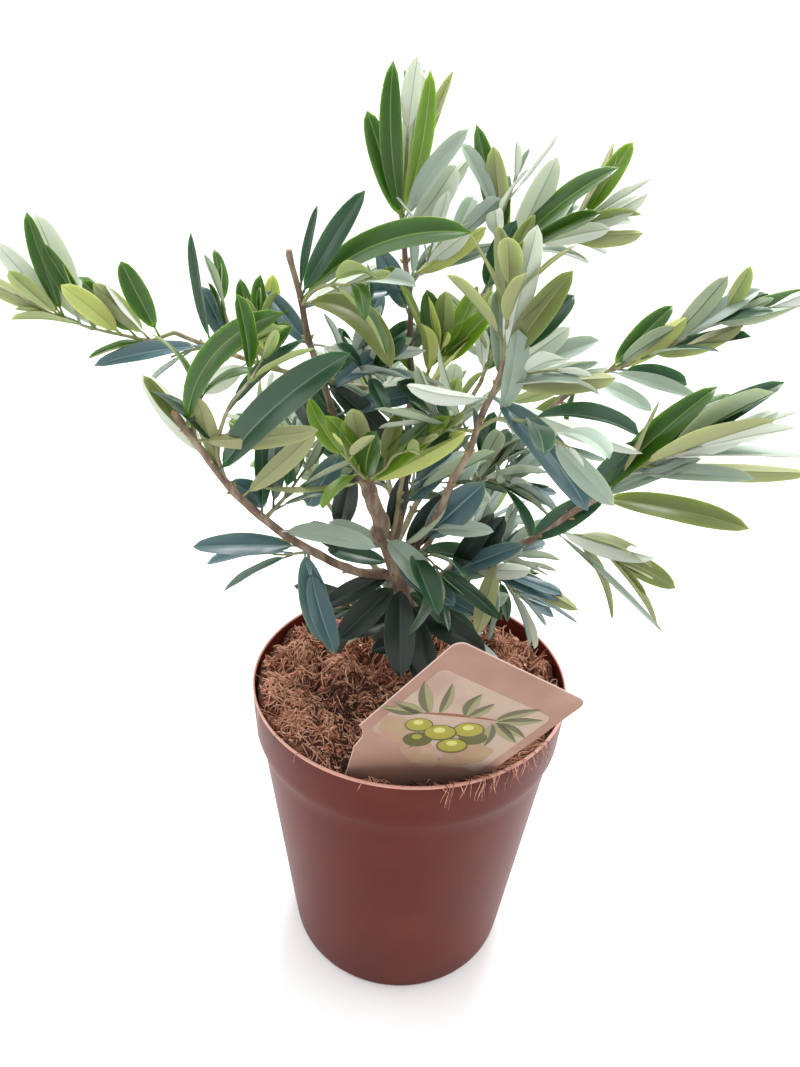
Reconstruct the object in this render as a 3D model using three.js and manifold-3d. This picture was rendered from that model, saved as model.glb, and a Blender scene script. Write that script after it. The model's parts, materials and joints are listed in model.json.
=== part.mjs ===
// A young pruned olive tree in its plastic nursery pot.
// Millimetres and degrees, +Z up. The origin is the middle of the pot's flat underside.
// Headings turn from +X (0) towards +Y (90); pitches rise from level (0) to upright (90).
import * as THREE from "three";
import { mergeVertices } from "three/addons/utils/BufferGeometryUtils.js";
import Module from "manifold-3d";

const wasm = await Module();
wasm.setup();

// ---------------------------------------------------------------- driving sizes
const GAP = 0.35;                // clearance kept between neighbouring pieces

const POT_HEIGHT = 148;
const RIM_RADIUS = 70;
const BASE_RADIUS = 53;
const LIP_HEIGHT = 23;           // the stiff band round the top
const LIP_TAPER = 1.2;           // how much narrower the band is at its lower edge
const LIP_STEP = 1.8;            // how far the band stands out from the wall below it
const WALL = 1.2;
const FLOOR = 1.8;
const ROUNDING = 1;              // small roundings of the pot's edges
const POT_SIDES = 48;
const HOLE_COUNT = 6;            // drainage holes in the floor
const HOLE_RADIUS = 4.5;
const HOLE_RING = 36;
const HOLE_SIDES = 12;

const SOIL_LEVEL = 139;          // level of the seat that the trunk stands on
const SOIL_ROUGHNESS = 1.5;      // height of the crumbs and hollows
const SOIL_RINGS = 5;
const SEAT_RADIUS = 13;          // the level patch under the trunk
const CRUMB_WAVES = [0.19, 0.23, 0.37, 0.29]; // radians a millimetre

const CARD_WIDTH = 61;
const CARD_SHOULDER = 57;        // straight part of the card, down from its top edge
const CARD_LENGTH = 112;
const CARD_THICKNESS = 0.6;
const CARD_CORNER = 4;
const CARD_FOOT = 34;            // width where the foot starts to run to its point
const CARD_NOTCH = 5;            // depth of the notch under each shoulder
const CARD_NOTCH_FOOT = 12;      // from the shoulder down to the foot of the notch
const CARD_KNEE = 28;            // from the shoulder down to where the point begins
const CARD_POINT = 2;            // half width of the blunt point
const CARD_TOP_LEFT = [15.4, -75.2, 221.8];
const CARD_HEADING = 6;          // of the card's width, seen from above
const CARD_LEAN = 13;            // how far it leans out over the rim
const CARD_TURN = 34;            // how far it is turned in its own plane

const TRUNK_FOOT = [9, -1, SOIL_LEVEL];
const TRUNK_FLARE = 3.6;         // extra radius of the root flare at the soil
const FLARE_HEIGHT = 8;
const FLARE_RIBS = 3;            // roots that swell the flare
const FLARE_RIB_DEPTH = 0.25;    // as a share of the flare
const FLARE_TURN = 0.6;          // radians that the first rib is turned by
const TRUNK_SIDES = 10;
const TRUNK_FACETS = 10;
const BOUGH_SIDES = 6;
const BOUGH_FACET = 18;          // length of one facet along a limb
const MASS_SIDES = 7;
const MASS_RINGS = 6;
const MASS_UNEVENNESS = 0.13;    // bumps on a mass, as a share of its half width
const MASS_SEED_STEP = 1.7;      // turns each mass's bumps away from its neighbour's
const ARC_STEPS = 16;            // straight steps that an arc is summed over
const WELD = 1e-3;               // points closer than this are one

// A limb leaves its parent at a share of the parent's length, and its heading and pitch
// turn evenly from the first value to the second. Radii are at its foot and its tip.
const LIMBS = {
  trunk: { length: 91, heading: [-165, -165], pitch: [75, 75], radius: [5.6, 3.6] },
  bough_leader: {
    from: "trunk", at: 1, length: 25, heading: [-130, -125], pitch: [55, 75], radius: [3.9, 3.5],
  },
  bough_left_low: {
    from: "trunk", at: 0.66, length: 123, heading: [-165, -150], pitch: [20, 70], radius: [2.6, 1.6],
  },
  bough_left_mid: {
    from: "trunk", at: 0.88, length: 122, heading: [145, 235], pitch: [60, 80], radius: [2.2, 1.3],
  },
  bough_top: {
    from: "trunk", at: 0.76, length: 137, heading: [55, 130], pitch: [85, 70], radius: [2.2, 1.2],
  },
  bough_left_long: {
    from: "bough_top", at: 0.53, length: 93, heading: [175, 180], pitch: [0, 22], radius: [1.6, 1.1],
  },
  bough_right_up: {
    from: "trunk", at: 0.72, length: 110, heading: [-40, -40], pitch: [60, 75], radius: [2.2, 1.3],
  },
  bough_right_low: {
    from: "trunk", at: 0.64, length: 100, heading: [-5, -45], pitch: [25, 55], radius: [2.4, 1.4],
  },
  bough_mid: {
    from: "trunk", at: 0.8, length: 131, heading: [60, 35], pitch: [90, 40], radius: [2, 1.2],
  },
  bough_right_back: {
    from: "trunk", at: 0.56, length: 132, heading: [80, -20], pitch: [35, 50], radius: [2.1, 1.2],
  },
  bough_back_mid: {
    from: "trunk", at: 0.84, length: 92, heading: [70, 55], pitch: [25, 45], radius: [2, 1.2],
  },
  bough_back_left: {
    from: "trunk", at: 0.7, length: 84, heading: [95, 110], pitch: [25, 35], radius: [1.9, 1.2],
  },
  bough_back_low: {
    from: "trunk", at: 0.5, length: 72, heading: [55, 75], pitch: [15, -5], radius: [1.7, 1.1],
  },
  bough_left_back: {
    from: "trunk", at: 0.6, length: 64, heading: [155, 140], pitch: [30, 50], radius: [1.8, 1.1],
  },
};

// Each mass of foliage follows an arc of its own from its bough. Its half widths are level
// across and deep, and "full" is the share of its length where it is widest.
const MASSES = {
  left_tip: {
    from: "bough_left_long", at: 1, length: 74, heading: [190, 190], pitch: [52, 8],
    half: [17, 20], full: 0.6,
  },
  left_sprig: {
    from: "bough_left_long", at: 0.55, length: 38, heading: [-120, -120], pitch: [50, 90],
    half: [10, 10], full: 0.5,
  },
  left_upright: {
    from: "bough_left_long", at: 0.72, length: 38, heading: [160, 160], pitch: [65, 90],
    half: [8, 9], full: 0.5,
  },
  left_drop: {
    from: "bough_left_long", at: 0.84, length: 42, heading: [190, 190], pitch: [-18, 5],
    half: [8, 6], full: 0.55,
  },
  left_fan: {
    from: "bough_left_low", at: 0.72, length: 82, heading: [-50, -40], pitch: [85, 25],
    half: [17, 19], full: 0.5,
  },
  left_arch: {
    from: "bough_left_low", at: 0.86, length: 62, heading: [20, 25], pitch: [90, 10],
    half: [8, 8], full: 0.5,
  },
  left_end: {
    from: "bough_left_low", at: 0.82, length: 38, heading: [170, 170], pitch: [55, 40],
    half: [9, 8], full: 0.55,
  },
  left_under: {
    from: "bough_left_low", at: 0.38, length: 40, heading: [-55, -55], pitch: [-65, -50],
    half: [9, 7], full: 0.5,
  },
  left_level: {
    from: "bough_left_low", at: 0.34, length: 44, heading: [-175, -175], pitch: [-5, 0],
    half: [9, 6], full: 0.55,
  },
  left_inner: {
    from: "bough_left_low", at: 0.5, length: 42, heading: [45, 35], pitch: [75, 20],
    half: [14, 13], full: 0.5,
  },
  leader_left: {
    from: "bough_leader", at: 1, length: 44, heading: [-115, -105], pitch: [35, 70],
    half: [13, 12], full: 0.55,
  },
  leader_right: {
    from: "bough_leader", at: 1, length: 52, heading: [-45, -45], pitch: [45, 35],
    half: [12, 10], full: 0.5,
  },
  leader_fall: {
    from: "trunk", at: 0.9, length: 50, heading: [-50, -30], pitch: [10, -35],
    half: [13, 10], full: 0.55,
  },
  mid_left_crown: {
    from: "bough_left_mid", at: 0.82, length: 62, heading: [-50, -30], pitch: [70, -5],
    half: [16, 15], full: 0.5,
  },
  mid_left_low: {
    from: "bough_left_mid", at: 0.55, length: 44, heading: [-10, 10], pitch: [50, 5],
    half: [13, 13], full: 0.5,
  },
  top_spray: {
    from: "bough_top", at: 1, length: 50, heading: [60, 60], pitch: [80, 95],
    half: [15, 15], full: 0.5,
  },
  top_side: {
    from: "bough_top", at: 0.78, length: 44, heading: [30, 30], pitch: [60, 20],
    half: [12, 12], full: 0.55,
  },
  mid_rosette: {
    from: "bough_mid", at: 0.5, length: 40, heading: [-30, -30], pitch: [75, 65],
    half: [14, 13], full: 0.55,
  },
  crown_mid: {
    from: "bough_mid", at: 1, length: 48, heading: [-110, -90], pitch: [45, 95],
    half: [16, 15], full: 0.5,
  },
  crown_right: {
    from: "bough_mid", at: 1, length: 62, heading: [15, 20], pitch: [20, 45],
    half: [14, 16], full: 0.5,
  },
  right_up_top: {
    from: "bough_right_up", at: 1, length: 40, heading: [-70, -85], pitch: [100, 55],
    half: [14, 13], full: 0.5,
  },
  right_up_side: {
    from: "bough_right_up", at: 0.86, length: 44, heading: [-25, -30], pitch: [40, 20],
    half: [12, 10], full: 0.55,
  },
  right_up_fall: {
    from: "bough_right_up", at: 0.75, length: 64, heading: [-50, -60], pitch: [30, -20],
    half: [15, 10], full: 0.5,
  },
  right_up_inner: {
    from: "bough_right_up", at: 0.72, length: 32, heading: [175, 175], pitch: [25, 0],
    half: [9, 8], full: 0.5,
  },
  right_back_top: {
    from: "bough_right_back", at: 0.8, length: 34, heading: [40, 45], pitch: [60, 50],
    half: [13, 13], full: 0.5,
  },
  far_right: {
    from: "bough_right_back", at: 1, length: 86, heading: [-5, -5], pitch: [36, 18],
    half: [15, 14], full: 0.5,
  },
  right_tip: {
    from: "bough_right_low", at: 1, length: 74, heading: [-15, -20], pitch: [45, 15],
    half: [17, 17], full: 0.55,
  },
  right_side: {
    from: "bough_right_low", at: 0.72, length: 48, heading: [-20, -25], pitch: [0, -45],
    half: [10, 8], full: 0.5,
  },
  right_under: {
    from: "bough_right_low", at: 0.42, length: 38, heading: [-30, -10], pitch: [-60, 10],
    half: [12, 10], full: 0.55,
  },
  heart_right: {
    from: "bough_right_back", at: 0.42, length: 42, heading: [-5, 10], pitch: [5, 40],
    half: [17, 16], full: 0.5,
  },
  heart_mid: {
    from: "bough_mid", at: 0.25, length: 34, heading: [30, 40], pitch: [-30, 80],
    half: [14, 14], full: 0.5,
  },
  skirt_left: {
    from: "trunk", at: 0.6, length: 42, heading: [165, 175], pitch: [-15, -55],
    half: [11, 9], full: 0.5,
  },
  skirt_right: {
    from: "trunk", at: 0.46, length: 44, heading: [10, 15], pitch: [0, -55],
    half: [15, 11], full: 0.5,
  },
  skirt_back: {
    from: "trunk", at: 0.42, length: 40, heading: [120, 125], pitch: [5, -35],
    half: [14, 11], full: 0.5,
  },
  back_left_end: {
    from: "bough_back_left", at: 1, length: 42, heading: [110, 105], pitch: [40, 20],
    half: [19, 17], full: 0.5,
  },
  back_left_side: {
    from: "bough_back_left", at: 0.5, length: 42, heading: [150, 140], pitch: [10, 5],
    half: [16, 14], full: 0.5,
  },
  back_mid_end: {
    from: "bough_back_mid", at: 1, length: 42, heading: [60, 65], pitch: [50, 35],
    half: [18, 16], full: 0.5,
  },
  back_mid_side: {
    from: "bough_back_mid", at: 0.55, length: 44, heading: [105, 110], pitch: [45, 15],
    half: [16, 14], full: 0.5,
  },
  back_low_end: {
    from: "bough_back_low", at: 1, length: 46, heading: [70, 70], pitch: [-5, -25],
    half: [18, 14], full: 0.5,
  },
  back_low_side: {
    from: "bough_back_low", at: 0.5, length: 52, heading: [20, 10], pitch: [10, -10],
    half: [16, 14], full: 0.5,
  },
  left_back_end: {
    from: "bough_left_back", at: 1, length: 44, heading: [140, 135], pitch: [35, 10],
    half: [16, 14], full: 0.5,
  },
};

// ---------------------------------------------------------------- finishes
const finish = (color, roughness) => new THREE.MeshStandardMaterial({ color, roughness, metalness: 0 });
const POT_PLASTIC = finish(0x8a4a3c, 0.55);
const COIR = finish(0x7d5138, 0.95);
const CARD_STOCK = finish(0xc9a396, 0.6);
const BARK = finish(0x83705c, 0.85);
const LEAF_TONES = [0x5c7a3a, 0x6f8468, 0x8d9a78, 0x4c6450].map((color) => finish(color, 0.6));

// ---------------------------------------------------------------- solids and meshes
/** Turns a closed three.js geometry into a manifold solid. */
function toSolid(geometry) {
  const bare = geometry.clone();
  bare.deleteAttribute("normal");
  bare.deleteAttribute("uv");
  const merged = mergeVertices(bare, WELD);
  const corners = Array.from(merged.index.array);
  const kept = [];
  for (let i = 0; i < corners.length; i += 3) {
    const [a, b, c] = corners.slice(i, i + 3);
    if (a !== b && b !== c && c !== a) {
      kept.push(a, b, c);
    }
  }
  return new wasm.Manifold(new wasm.Mesh({
    numProp: 3,
    vertProperties: new Float32Array(merged.attributes.position.array),
    triVerts: new Uint32Array(kept),
  }));
}

/** Turns a solid back into a three.js geometry. */
function toGeometry(solid) {
  const mesh = solid.getMesh();
  const geometry = new THREE.BufferGeometry();
  geometry.setAttribute("position", new THREE.BufferAttribute(Float32Array.from(mesh.vertProperties), 3));
  geometry.setIndex(Array.from(mesh.triVerts));
  geometry.computeVertexNormals();
  return geometry;
}

/** Keeps the largest body of a solid that a cut may have parted. */
function largestBody(solid) {
  const bodies = solid.decompose();
  return bodies.reduce((best, body) => (body.volume() > best.volume() ? body : best));
}

/** Tells whether the boxes round two solids meet. */
function boxesMeet(first, second) {
  const a = first.boundingBox();
  const b = second.boundingBox();
  return [0, 1, 2].every((axis) => a.min[axis] < b.max[axis] && b.min[axis] < a.max[axis]);
}

// ---------------------------------------------------------------- growth arcs
/** A limb's centreline: its heading and pitch turn evenly from foot to tip. */
class GrowthArc extends THREE.Curve {
  constructor(foot, { length, heading, pitch }) {
    super();
    this.foot = foot;
    this.length = length;
    this.heading = heading;
    this.pitch = pitch;
  }

  headingAt(t) {
    return THREE.MathUtils.degToRad(THREE.MathUtils.lerp(this.heading[0], this.heading[1], t));
  }

  directionAt(t) {
    const heading = this.headingAt(t);
    const pitch = THREE.MathUtils.degToRad(THREE.MathUtils.lerp(this.pitch[0], this.pitch[1], t));
    const level = Math.cos(pitch);
    return new THREE.Vector3(Math.cos(heading) * level, Math.sin(heading) * level, Math.sin(pitch));
  }

  /** The level direction across the limb. */
  acrossAt(t) {
    const heading = this.headingAt(t);
    return new THREE.Vector3(-Math.sin(heading), Math.cos(heading), 0);
  }

  getPoint(t, target = new THREE.Vector3()) {
    target.copy(this.foot);
    for (let i = 0; i < ARC_STEPS; i += 1) {
      const middle = (t * (i + 0.5)) / ARC_STEPS;
      target.addScaledVector(this.directionAt(middle), (this.length * t) / ARC_STEPS);
    }
    return target;
  }
}

/**
 * Bends a form that stands on the Y axis, from 0 at its foot to 1 at its tip, along an arc.
 * sectionAt(t, x, z) gives how far a point lies across and deep of the centreline.
 */
function bendAlong(form, arc, sectionAt) {
  const position = form.attributes.position;
  const point = new THREE.Vector3();
  for (let i = 0; i < position.count; i += 1) {
    const t = position.getY(i);
    const across = arc.acrossAt(t);
    const deep = new THREE.Vector3().crossVectors(across, arc.directionAt(t));
    const [sideways, outwards] = sectionAt(t, position.getX(i), position.getZ(i));
    arc.getPoint(t, point);
    point.addScaledVector(across, sideways).addScaledVector(deep, outwards);
    position.setXYZ(i, point.x, point.y, point.z);
  }
  return toSolid(form);
}

/** A tapering limb round its arc, "grown" by a clearance when it is used as a cutter. */
function limbSolid(arc, radius, grown = 0) {
  const steps = Math.max(2, Math.round(arc.length / BOUGH_FACET));
  const stretch = 1 + grown / arc.length;
  const form = new THREE.CylinderGeometry(1, 1, stretch, BOUGH_SIDES, steps);
  form.translate(0, stretch / 2, 0);
  return bendAlong(form, arc, (t, x, z) => {
    const here = THREE.MathUtils.lerp(radius[0], radius[1], Math.min(t, 1)) + grown;
    return [x * here, z * here];
  });
}

/** The trunk: a limb with a root flare, cut flat at the soil. */
function trunkSolid(arc, radius, grown = 0) {
  const sunk = 0.1;
  const stretch = 1 + sunk + grown / arc.length;
  const form = new THREE.CylinderGeometry(1, 1, stretch, TRUNK_SIDES, TRUNK_FACETS);
  form.translate(0, stretch / 2 - sunk, 0);
  const rough = bendAlong(form, arc, (t, x, z) => {
    const height = Math.max(0, t) * arc.length;
    const flare = TRUNK_FLARE * Math.exp(-height / FLARE_HEIGHT);
    const ribs = 1 + FLARE_RIB_DEPTH * Math.cos(FLARE_RIBS * Math.atan2(z, x) + FLARE_TURN);
    const here = THREE.MathUtils.lerp(radius[0], radius[1], t) + flare * ribs + grown;
    return [x * here, z * here];
  });
  const depth = SOIL_LEVEL / 4;
  const below = new THREE.BoxGeometry(RIM_RADIUS, RIM_RADIUS, depth);
  below.translate(TRUNK_FOOT[0], TRUNK_FOOT[1], SOIL_LEVEL - grown - depth / 2);
  return rough.subtract(toSolid(below));
}

/** An uneven mass of foliage round its arc. */
function massSolid(arc, { half, full }, seed, grown = 0) {
  const form = new THREE.SphereGeometry(1, MASS_SIDES, MASS_RINGS);
  form.scale(1, -0.5, -1);
  form.translate(0, 0.5, 0);
  const position = form.attributes.position;
  const bend = Math.log(full) / Math.log(0.5);
  const reach = grown / arc.length;
  for (let i = 0; i < position.count; i += 1) {
    const t = position.getY(i) ** bend;
    position.setY(i, t * (1 + 2 * reach) - reach);
  }
  return bendAlong(form, arc, (t, x, z) => {
    const angle = Math.atan2(z, x);
    const lobes = Math.sin(3 * angle + seed) * Math.cos(5 * t + 2 * seed);
    const twist = Math.sin(2 * angle + 9 * t + 3 * seed);
    const uneven = 1 + MASS_UNEVENNESS * (lobes + twist);
    const spread = Math.hypot(x, z) > 1e-6 ? grown / Math.hypot(x, z) : 0;
    return [x * (half[0] * uneven + spread), z * (half[1] * uneven + spread)];
  });
}

// ---------------------------------------------------------------- pot, soil and card
/** Radius of the pot's outer wall below its lip at a height. */
const wallRadius = (z) => THREE.MathUtils.mapLinear(
  z, 0, POT_HEIGHT - LIP_HEIGHT, BASE_RADIUS, RIM_RADIUS - LIP_TAPER - LIP_STEP,
);

/** Radius of the lip's outer face at a height. */
const lipRadius = (z) => THREE.MathUtils.mapLinear(
  z, POT_HEIGHT - LIP_HEIGHT, POT_HEIGHT, RIM_RADIUS - LIP_TAPER, RIM_RADIUS,
);

/** Turns a profile of [radius, height] pairs round the Z axis. */
function turned(profile, sides) {
  const form = new THREE.LatheGeometry(profile.map(([r, z]) => new THREE.Vector2(r, z)), sides);
  form.rotateX(Math.PI / 2);
  return form;
}

/** The pot: a tapering thin wall, a stiff lip, a floor and its drainage holes. */
function potSolid() {
  const lipFoot = POT_HEIGHT - LIP_HEIGHT;
  const profile = [
    [0, 0],
    [BASE_RADIUS - ROUNDING, 0],
    [wallRadius(ROUNDING), ROUNDING],
    [wallRadius(lipFoot), lipFoot],
    [lipRadius(lipFoot), lipFoot],
    [lipRadius(POT_HEIGHT - ROUNDING / 2), POT_HEIGHT - ROUNDING / 2],
    [RIM_RADIUS - ROUNDING / 2, POT_HEIGHT],
    [RIM_RADIUS - WALL, POT_HEIGHT],
    [lipRadius(lipFoot + 2 * WALL) - WALL, lipFoot + 2 * WALL],
    [wallRadius(lipFoot) - WALL, lipFoot],
    [wallRadius(FLOOR) - WALL, FLOOR],
    [0, FLOOR],
  ];
  let pot = toSolid(turned(profile, POT_SIDES));
  for (let i = 0; i < HOLE_COUNT; i += 1) {
    const angle = (2 * Math.PI * (i + 0.5)) / HOLE_COUNT;
    const hole = new THREE.CylinderGeometry(HOLE_RADIUS, HOLE_RADIUS, 4 * FLOOR, HOLE_SIDES);
    hole.rotateX(Math.PI / 2);
    hole.translate(HOLE_RING * Math.cos(angle), HOLE_RING * Math.sin(angle), 0);
    pot = pot.subtract(toSolid(hole));
  }
  return pot;
}

/** Height of the coir's crumbs at a place, level on the seat under the trunk. */
function crumbs(x, y) {
  const away = Math.hypot(x - TRUNK_FOOT[0], y - TRUNK_FOOT[1]);
  const fade = THREE.MathUtils.smoothstep(away, SEAT_RADIUS, 2 * SEAT_RADIUS);
  const [a, b, c, d] = CRUMB_WAVES;
  const waves = Math.sin(a * x + 1) * Math.cos(b * y) + 0.7 * Math.sin(c * y - d * x);
  return fade * SOIL_ROUGHNESS * waves;
}

/** The coir that fills the pot up to just under its rim. */
function soilSolid() {
  const lipFoot = POT_HEIGHT - LIP_HEIGHT;
  const foot = FLOOR + GAP;
  const lipInside = lipFoot + 2 * WALL + 1;
  const clear = WALL + 2 * GAP;
  const edge = lipRadius(SOIL_LEVEL) - clear;
  const profile = [
    [0, foot],
    [wallRadius(foot) - clear, foot],
    [wallRadius(lipFoot) - clear, lipFoot],
    [lipRadius(lipInside) - clear, lipInside],
  ];
  for (let ring = SOIL_RINGS; ring >= 0; ring -= 1) {
    profile.push([(edge * ring) / SOIL_RINGS, SOIL_LEVEL - GAP]);
  }
  const form = turned(profile, POT_SIDES);
  const position = form.attributes.position;
  for (let i = 0; i < position.count; i += 1) {
    if (position.getZ(i) > SOIL_LEVEL - 1) {
      position.setZ(i, position.getZ(i) + crumbs(position.getX(i), position.getY(i)));
    }
  }
  return toSolid(form);
}

/** The card's outline: a rounded head, a notch under each shoulder and a pointed foot. */
function cardOutline(grown = 0) {
  const side = CARD_WIDTH / 2 + grown;
  const corner = CARD_CORNER;
  const foot = CARD_FOOT / 2 + grown;
  const notch = side - CARD_NOTCH;
  const outline = new THREE.Shape();
  outline.moveTo(-side, -CARD_SHOULDER - grown);
  outline.lineTo(-side, -corner);
  outline.absarc(-side + corner, -corner + grown, corner, Math.PI, Math.PI / 2, true);
  outline.absarc(side - corner, -corner + grown, corner, Math.PI / 2, 0, true);
  outline.lineTo(side, -CARD_SHOULDER - grown);
  outline.lineTo(notch, -CARD_SHOULDER - CARD_NOTCH);
  outline.lineTo(notch - 1, -CARD_SHOULDER - CARD_NOTCH_FOOT);
  outline.lineTo(foot, -CARD_SHOULDER - CARD_KNEE);
  outline.lineTo(CARD_POINT, -CARD_LENGTH - grown);
  outline.lineTo(-CARD_POINT, -CARD_LENGTH - grown);
  outline.lineTo(-foot, -CARD_SHOULDER - CARD_KNEE);
  outline.lineTo(-notch + 1, -CARD_SHOULDER - CARD_NOTCH_FOOT);
  outline.lineTo(-notch, -CARD_SHOULDER - CARD_NOTCH);
  outline.closePath();
  return outline;
}

/** The plant card, standing in the coir and leaning out over the rim. */
function cardSolid(grown = 0) {
  const thick = CARD_THICKNESS + 2 * grown;
  const form = new THREE.ExtrudeGeometry(cardOutline(grown), {
    depth: thick, bevelEnabled: false, curveSegments: 4,
  });
  form.translate(CARD_WIDTH / 2, 0, -thick / 2);
  form.rotateZ(-THREE.MathUtils.degToRad(CARD_TURN));
  form.rotateX(THREE.MathUtils.degToRad(90 + CARD_LEAN));
  form.rotateZ(THREE.MathUtils.degToRad(CARD_HEADING));
  form.translate(...CARD_TOP_LEFT);
  return toSolid(form);
}

// ---------------------------------------------------------------- assembly
const tree = new THREE.Group();
tree.name = "potted_olive_tree";

/** Adds one named piece to the group. */
function addPiece(name, solid, material) {
  const mesh = new THREE.Mesh(toGeometry(solid), material);
  mesh.name = name;
  tree.add(mesh);
}

const card = cardSolid();
addPiece("pot", potSolid(), POT_PLASTIC);
addPiece("soil", largestBody(soilSolid().subtract(cardSolid(GAP))), COIR);
addPiece("label_card", card, CARD_STOCK);

// Each limb and mass is cut clear of everything that was placed before it.
const arcs = {};
const cutters = [cardSolid(GAP)];

/** Cuts a solid clear of the pieces placed so far and returns its largest body. */
function cutClear(solid) {
  let rest = solid;
  for (const cutter of cutters) {
    if (boxesMeet(rest, cutter)) {
      rest = rest.subtract(cutter);
    }
  }
  return largestBody(rest);
}

for (const [name, limb] of Object.entries(LIMBS)) {
  const foot = limb.from ? arcs[limb.from].getPoint(limb.at) : new THREE.Vector3(...TRUNK_FOOT);
  const arc = new GrowthArc(foot, limb);
  const shape = limb.from ? limbSolid : trunkSolid;
  arcs[name] = arc;
  addPiece(name, cutClear(shape(arc, limb.radius)), BARK);
  cutters.push(shape(arc, limb.radius, GAP));
}

Object.entries(MASSES).forEach(([name, mass], index) => {
  const arc = new GrowthArc(arcs[mass.from].getPoint(mass.at), mass);
  const seed = MASS_SEED_STEP * index;
  addPiece(`foliage_${name}`, cutClear(massSolid(arc, mass, seed)), LEAF_TONES[index % LEAF_TONES.length]);
  cutters.push(massSolid(arc, mass, seed, GAP));
});

export default tree;
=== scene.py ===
"""Potted olive tree: wood, leaves, coir, pot and plant card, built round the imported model.

Lengths are in metres and angles in degrees. Headings turn from +X (0) towards +Y (90), and
pitches rise from level (0) to upright (90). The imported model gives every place: the trunk and
boughs follow the centrelines of their nodes, and each mass of foliage becomes a leafy spray.
"""
import json
import logging
import math
import random
from dataclasses import dataclass, field
from enum import Enum, IntEnum
from typing import Callable, Optional, Sequence

import bpy
from mathutils import Matrix, Vector, noise

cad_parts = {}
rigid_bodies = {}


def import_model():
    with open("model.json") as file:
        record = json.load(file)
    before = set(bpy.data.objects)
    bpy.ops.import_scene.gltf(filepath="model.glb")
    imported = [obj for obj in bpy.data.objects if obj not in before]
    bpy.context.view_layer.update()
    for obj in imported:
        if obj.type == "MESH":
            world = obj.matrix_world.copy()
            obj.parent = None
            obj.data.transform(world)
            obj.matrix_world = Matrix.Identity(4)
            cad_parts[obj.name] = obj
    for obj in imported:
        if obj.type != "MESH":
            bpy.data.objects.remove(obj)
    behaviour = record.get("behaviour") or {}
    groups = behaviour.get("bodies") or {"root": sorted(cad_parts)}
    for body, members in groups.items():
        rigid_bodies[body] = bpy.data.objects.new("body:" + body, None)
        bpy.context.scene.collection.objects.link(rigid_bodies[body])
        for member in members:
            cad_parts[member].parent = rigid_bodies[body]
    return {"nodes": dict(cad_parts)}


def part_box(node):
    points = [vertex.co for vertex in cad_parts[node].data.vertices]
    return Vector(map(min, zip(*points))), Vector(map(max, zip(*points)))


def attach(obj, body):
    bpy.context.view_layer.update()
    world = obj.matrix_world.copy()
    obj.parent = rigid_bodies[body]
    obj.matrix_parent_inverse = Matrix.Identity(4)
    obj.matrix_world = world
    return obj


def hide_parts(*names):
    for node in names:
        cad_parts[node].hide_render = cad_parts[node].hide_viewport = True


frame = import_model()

logging.basicConfig(level=logging.INFO, format="%(message)s")
LOG = logging.getLogger("olive")

MM = 0.001
UP = Vector((0.0, 0.0, 1.0))
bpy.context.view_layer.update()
Colour = tuple[float, float, float]
Outline = list[tuple[float, float]]


# ---------- finishes
def paint(red: int, green: int, blue: int) -> Colour:
    """Gives a linear colour.

    Args:
        red: the red byte of the sRGB colour.
        green: its green byte.
        blue: its blue byte.

    Returns:
        The three linear channels.
    """
    def linear(byte: int) -> float:
        """Gives one linear channel."""
        share = byte / 255
        return share / 12.92 if share <= 0.04045 else ((share + 0.055) / 1.055) ** 2.4
    return (linear(red), linear(green), linear(blue))


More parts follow.
